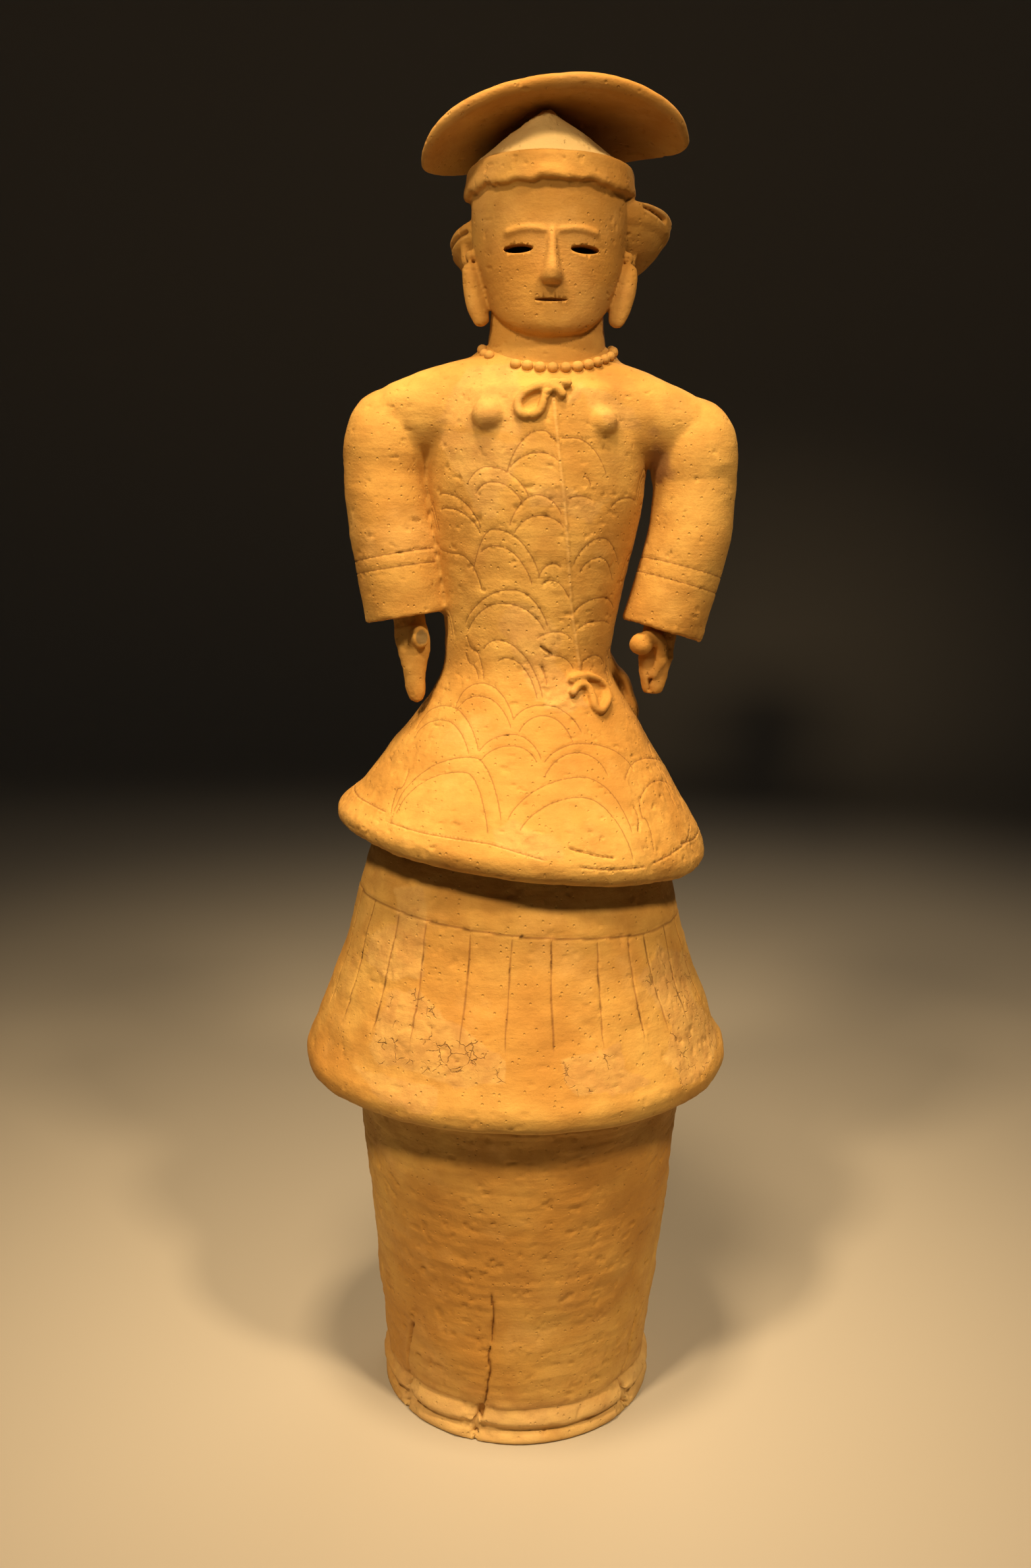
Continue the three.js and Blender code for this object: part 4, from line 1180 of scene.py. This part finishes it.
def face():
    """A plain face on the usual thirds: a wedge nose and two low brow ridges."""
    z = np.linspace(NOSE_BASE_Z - 1, BROW_Z + 6, 40)
    t = (z - z[0]) / (z[-1] - z[0])
    half = through([(0, 8.5), (0.12, 10.5), (0.3, 8.5), (0.6, 6), (0.85, 5), (1, 6)])(t)
    proud = through([(0, 9), (0.08, 15), (0.2, 15.5), (0.5, 10.5), (0.8, 5.5), (1, 1)])(t)
    turn = circle(48)
    across = half[:, None] * np.cos(turn)
    ahead = -(proud[:, None] + NOSE_SUNK) * np.maximum(np.sin(turn), -0.2)
    rings = on_face(0 * z, z, -NOSE_SUNK)[:, None, :] + np.stack([across, ahead, 0 * across], -1)
    parts = [lofted(rings[:, ::-1])]
    for side in (-1, 1):
        share = np.linspace(0.1, 1, 9)
        x = side * 41 * share
        ridge = on_face(x, BROW_Z + 1 + 3.5 * np.sin(np.pi * share), -1.6)
        parts.append(strand(ridge, 3.7, 50, 16, (0, -1, 0.02)))
    return parts


def openings():
    """The slits of the eyes and the mouth, to be cut from the head."""
    parts = []
    for side in (-1, 1):
        x = side * EYE_HALF * 2.1
        parts.append(ball(on_face(x, EYE_Z), (EYE_HALF - 1, 40, 3.8), 20, 36))
    parts.append(ball(on_face(0, MOUTH_Z), (15, 9, 1.5), 14, 30))
    return parts


def head_hollow():
    """The empty inside of the head and neck."""
    inner_width = through([
        (1010, 36), (1080, 36), (1100, 47), (1130, 54), (1170, 56), (1190, 54), (1205, 46),
        (1218, 30), (1226, 12),
    ])
    heights = np.linspace(1010, 1226, 50)
    return lofted(stack(heights, 64, inner_width, inner_width, head_middle))


def cut_away(obj, parts):
    """Subtracts closed skins from a piece."""
    tool = mesh_object("cutter", *joined(parts))
    cut = obj.modifiers.new("cut", "BOOLEAN")
    cut.operation = "DIFFERENCE"
    cut.solver = "EXACT"
    cut.object = tool
    apply_modifiers(obj)
    bpy.data.objects.remove(tool)


def head_piece(voxel=1.35):
    """The head and neck with the band, hair, ears and face, its hollow and its slits."""
    big = [neck(), head(), headband(), hair_board(), back_hair(), *ears(), *face()]
    points, quads = one_skin(big, voxel)
    points = smoothed(points, quads, 3, keep_size=True)
    points = smoothed(points, quads, 3)
    normals = normals_of(points, [quads])
    relief = Relief(points, normals, voxel)
    slot = np.radians(np.linspace(43, 70, 30))
    line = round_brim(slot, 1.0)
    line[:, 2] += np.linspace(6.5, 0.5, 30)
    relief.scratch(line, 2.1, 5.5, burr=0.1, ends=0.12)
    for start, end in ((84, 150), (172, 244), (262, 305)):
        line = round_brim(np.radians(np.linspace(start, end, 60)), 1.0)
        line[:, 2] += 2 + 2 * noise(line, 30, 1.0)
        relief.scratch(line, 2.0, 4.0, burr=0.1, ends=0.1)
    face_front = ramp(-40, -58, points[:, 1]) * ramp(1180, 1165, points[:, 2])
    height = unevenness(points, 1.1) * (1 - 0.7 * face_front)
    height += pits(points, 3.6, 0.44, 0.9, 1.0) * (1 - face_front)
    from_axis = np.hypot(points[:, 0] - HEAD_X, points[:, 1])
    dome = ramp(1205, 1209, points[:, 2]) * ramp(72, 68, from_axis)
    dome = dome * ramp(-0.35, 0, normals[:, 2]) * ramp(0.92, 0.8, normals[:, 2])
    patch = dome * ramp(1226, 1232, points[:, 2] + 3 * rough(points, 10, 2, 4.0))
    patch = patch * ramp(HEAD_X + 8, HEAD_X - 4, points[:, 0])
    height += patch * (1.6 + 2.0 * rough(points, 6, 3, 2.0)) + dome * 0.5 * rough(points, 14, 3, 6.0)
    moved = relief.moved(height)
    tan = 0.5 * ramp(-0.5, 0.5, rough(points, 50, 2, 3.0))
    marks = relief.marks(repair=np.maximum(tan, 2 * dome))
    obj = lighter(mesh_object("head", moved, [quads], marks), 185_000)
    cut_away(obj, [head_hollow()])
    cut_away(obj, openings())
    return obj


def necklace():
    """Clay beads pressed in a row round the foot of the neck; two are lost in front."""
    chance = np.random.default_rng(5)
    parts = []
    for turn in circle(BEADS):
        if 3.62 < turn < 4.05:
            continue
        ends = turn + np.array([-0.5, 0.5]) * 2 * np.pi / BEADS * chance.uniform(0.84, 0.98)
        y = np.where(ends < np.pi, 57, 53) * np.sin(ends)
        z = 1048 + 0.37 * np.minimum(y, 0) + chance.normal(0, 0.4)
        places = np.stack([HEAD_X + 61 * np.cos(ends), y, z], -1)
        parts.append(strand(places, 4.6 * chance.uniform(0.93, 1.06), 16, 18, (0, 0, 1)))
    points, faces = joined(parts)
    marks = {**no_marks(len(points)), "repair": np.full(len(points), 0.6)}
    return mesh_object("necklace", points, faces, marks)


# ------------------------------------------------------------------ finish


def linear(code):
    """sRGB hex colour as linear RGBA."""
    channels = np.array([int(code[i : i + 2], 16) for i in (1, 3, 5)]) / 255
    low = channels / 12.92
    high = ((channels + 0.055) / 1.055) ** 2.4
    return (*np.where(channels <= 0.04045, low, high), 1.0)


def node(tree, kind, settings=None, **links):
    """Adds a shader node. Each link is an input, by its name or as i and its number, and its
    value is a socket, a plain value or a colour."""
    made = tree.nodes.new(kind)
    for key, value in (settings or {}).items():
        setattr(made, key, value)
    for key, value in links.items():
        name = key.replace("_", " ")
        by_number = name[0] == "i" and name[1:].isdigit()
        socket = made.inputs[int(name[1:]) if by_number else name]
        if isinstance(value, bpy.types.NodeSocket):
            tree.links.new(value, socket)
        else:
            socket.default_value = value
    return made


def band(tree, value, start, end, low=0.0, high=1.0):
    """A value mapped from start..end to low..high, held at both ends."""
    made = node(tree, "ShaderNodeMapRange", {"interpolation_type": "SMOOTHSTEP"}, Value=value)
    for name, number in (("From Min", start), ("From Max", end), ("To Min", low), ("To Max", high)):
        made.inputs[name].default_value = number
    return made.outputs["Result"]


def mixed(tree, share, first, second):
    """Two colours mixed by a share."""
    return node(tree, "ShaderNodeMix", {"data_type": "RGBA"}, i0=share, i6=first, i7=second).outputs[2]


def product(tree, first, second):
    """Two values multiplied."""
    return node(tree, "ShaderNodeMath", {"operation": "MULTIPLY"}, i0=first, i1=second).outputs[0]


def low_fired_earthenware():
    """Unglazed low-fired earthenware, coil-built and scraped by hand: matt, orange where
    the kiln gave it air and browner where it did not, with sand in the clay, dust and
    painted shade in the scratches and pale rubbed edges."""
    material = bpy.data.materials.new("low_fired_earthenware")
    material.use_nodes = True
    tree = material.node_tree
    shader = tree.nodes["Principled BSDF"]
    place = node(tree, "ShaderNodeTexCoord").outputs["Object"]

    def cloud(size, detail=4.0, roughness=0.55, stretch=None):
        where = place
        if stretch:
            where = node(tree, "ShaderNodeMapping", Vector=place, Scale=stretch).outputs[0]
        sizes = {"Scale": 1 / size, "Detail": detail, "Roughness": roughness}
        return node(tree, "ShaderNodeTexNoise", Vector=where, **sizes).outputs["Fac"]

    def mark(name):
        return node(tree, "ShaderNodeAttribute", {"attribute_name": name}).outputs["Fac"]

    def washed(under, share, code):
        return mixed(tree, share, under, linear(code))

    def bump(height, strength, distance, inward=True, **under):
        sizes = {"Height": height, "Strength": strength, "Distance": distance}
        return node(tree, "ShaderNodeBump", {"invert": inward}, **sizes, **under).outputs[0]

    firing = band(tree, cloud(0.17, 3.0), 0.36, 0.64)
    mottle = band(tree, cloud(0.035, 5.0, 0.62), 0.35, 0.68, 0, 0.5)
    colour = mixed(tree, firing, linear("#BC8A40"), linear("#CDA458"))
    colour = washed(colour, mottle, "#A97836")
    dust = band(tree, cloud(0.075, 6.0, 0.6), 0.52, 0.74, 0, 0.45)
    colour = washed(colour, dust, "#DBB06C")
    smoke = band(tree, cloud(0.11, 4.0, 0.6, (1, 1, 0.6)), 0.60, 0.78, 0, 0.35)
    colour = washed(colour, smoke, "#8A5A38")
    blotches = band(tree, cloud(0.02, 5.0, 0.6), 0.4, 0.62)
    plaster = mixed(tree, blotches, linear("#B98F58"), linear("#CDA766"))
    colour = mixed(tree, band(tree, mark("repair"), 0.1, 0.9, 0, 0.55), colour, plaster)
    colour = washed(colour, band(tree, mark("repair"), 1.0, 2.0, 0, 0.85), "#E2C88F")
    colour = washed(colour, band(tree, mark("core"), 0.1, 0.8, 0, 0.65), "#625F4C")
    colour = washed(colour, band(tree, mark("stain"), 0.1, 1.0, 0, 0.6), "#6A4038")
    wander = node(tree, "ShaderNodeTexNoise", Vector=place, Scale=1 / 0.012, Detail=3.0).outputs["Color"]
    shift = {"data_type": "RGBA", "blend_type": "LINEAR_LIGHT"}
    bent = node(tree, "ShaderNodeMix", shift, i0=0.006, i6=place, i7=wander).outputs[2]
    edges = {"feature": "DISTANCE_TO_EDGE"}
    cells = node(tree, "ShaderNodeTexVoronoi", edges, Vector=bent, Scale=1 / 0.014).outputs["Distance"]
    open_here = band(tree, cloud(0.018, 3.0), 0.5, 0.62)
    lines = product(tree, band(tree, cells, 0.035, 0.008), open_here)
    crazing = product(tree, lines, mark("crazed"))
    colour = washed(colour, band(tree, crazing, 0.2, 0.9, 0, 0.5), "#7A5330")
    sand = node(tree, "ShaderNodeTexVoronoi", Vector=place, Scale=1 / 0.0032).outputs["Distance"]
    colour = washed(colour, band(tree, sand, 0.16, 0.05, 0, 0.3), "#7A4A2A")
    # cuts and breaks darkened: dust and painted shade in the grooves
    colour = washed(colour, band(tree, mark("cut"), 0.3, 0.9, 0, 0.52), "#6E4220")
    colour = washed(colour, band(tree, mark("lip"), 0.08, 0.6, 0, 0.5), "#E6BC7C")
    tree.links.new(colour, shader.inputs["Base Color"])
    shader.inputs["Roughness"].default_value = 0.82
    shader.inputs["IOR"].default_value = 1.5
    shader.inputs["Specular IOR Level"].default_value = 0.35

    pore = node(tree, "ShaderNodeTexVoronoi", Vector=place, Scale=1 / 0.0055)
    lot = node(tree, "ShaderNodeSeparateColor", Color=pore.outputs["Color"]).outputs[0]
    round_pores = band(tree, pore.outputs["Distance"], 0.26, 0.12)
    open_pores = product(tree, round_pores, band(tree, lot, 0.7, 0.72))
    grain = cloud(0.0028, 3.0, 0.6)
    scraped = cloud(0.012, 4.0, 0.6, (0.35, 0.35, 1.6))
    fine = bump(grain, 0.5, 0.0008, inward=False)
    scrapes = bump(scraped, 0.4, 0.0015, inward=False, Normal=fine)
    holes = bump(open_pores, 0.7, 0.001, Normal=scrapes)
    open_cracks = bump(crazing, 0.8, 0.0015, Normal=holes)
    tree.links.new(open_cracks, shader.inputs["Normal"])
    return material


# ------------------------------------------------------------------ stage, light and camera

WARM = "#FFDCA8"
PALE = "#FFE4BE"
WORLD_STRENGTH = 0.02
CAMERA_PLACE = (-0.0282, -1.3870, 0.9344)
CAMERA_ANGLES = (77.870, -0.597, -0.910)
CAMERA_LENS = 33.05


def matt(name, code):
    """A plain matt material."""
    material = bpy.data.materials.new(name)
    material.use_nodes = True
    shader = material.node_tree.nodes["Principled BSDF"]
    shader.inputs["Base Color"].default_value = linear(code)
    shader.inputs["Roughness"].default_value = 0.9
    return material


def floor():
    """A level sheet that curves up behind as a quarter circle into an upright one."""
    across = np.array([-6.0, 6.0])
    bend = np.linspace(0, np.pi / 2, 24)
    y = np.concatenate([[-4.0], 3.0 + 1.5 * np.sin(bend), [4.5]])
    z = np.concatenate([[0.0], 1.5 * (1 - np.cos(bend)), [6.0]])
    points = np.array([(x, b, c) for b, c in zip(y, z) for x in across]) * 1000
    i = np.arange(len(y) - 1) * 2
    quads = np.stack([i, i + 1, i + 3, i + 2], -1)
    obj = mesh_object("floor", points, [quads])
    obj.data.materials.append(matt("pale_paper", "#B4AFA7"))


def softbox(name, place, target, size, watts, spread, colour=WARM):
    """A square light facing a target, its beam narrowed to a spread in degrees."""
    light = bpy.data.lights.new(name, "AREA")
    light.size = size
    light.energy = watts
    light.color = linear(colour)[:3]
    light.spread = np.radians(spread)
    obj = bpy.data.objects.new(name, light)
    bpy.context.scene.collection.objects.link(obj)
    obj.location = place
    way = mathutils.Vector(target) - mathutils.Vector(place)
    obj.rotation_euler = way.to_track_quat("-Z", "Y").to_euler()


def studio():
    """Warm softboxes with grids: one nearly overhead, one on each side in front, one on the
    head, a wide one behind and a faint fill."""
    softbox("top", (-0.15, -0.62, 3.1), (0, 0, 0.6), 0.4, 7, 60)
    softbox("left", (-0.95, -1.55, 2.75), (0, 0, 0.15), 0.3, 4.6, 45)
    softbox("right", (0.95, -1.5, 2.75), (0, 0, 0.15), 0.3, 4.0, 45)
    softbox("head", (-0.6, -2.4, 1.9), (0.02, 0, 1.2), 0.25, 0.35, 20)
    softbox("rear", (0.9, 2.4, 2.4), (0, 0, 0.7), 1.5, 9, 120, PALE)
    softbox("fill", (0.0, -3.6, 1.4), (0, 0, 0.7), 3.0, 0.2, 180, PALE)
    world = bpy.data.worlds.new("studio")
    world.use_nodes = True
    background = world.node_tree.nodes["Background"]
    background.inputs["Color"].default_value = linear("#FFF1DE")
    background.inputs["Strength"].default_value = WORLD_STRENGTH
    bpy.context.scene.world = world


def camera():
    """A camera at chest height, looking down 12 degrees; 33 mm lens on a 36 mm sensor."""
    data = bpy.data.cameras.new("camera")
    data.lens = CAMERA_LENS
    data.sensor_width = 36
    data.sensor_fit = "AUTO"
    obj = bpy.data.objects.new("camera", data)
    bpy.context.scene.collection.objects.link(obj)
    obj.location = CAMERA_PLACE
    obj.rotation_euler = np.radians(CAMERA_ANGLES)
    bpy.context.scene.camera = obj


# ------------------------------------------------------------------ the whole figure

earthenware = low_fired_earthenware()
for piece in (pedestal_piece(), skirt_piece(), jacket_piece(), head_piece(), necklace()):
    piece.data.materials.clear()
    piece.data.materials.append(earthenware)
    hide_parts(NODE)
    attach(piece, "root")

floor()
studio()
camera()
scene = bpy.context.scene
scene.view_settings.view_transform = "Standard"
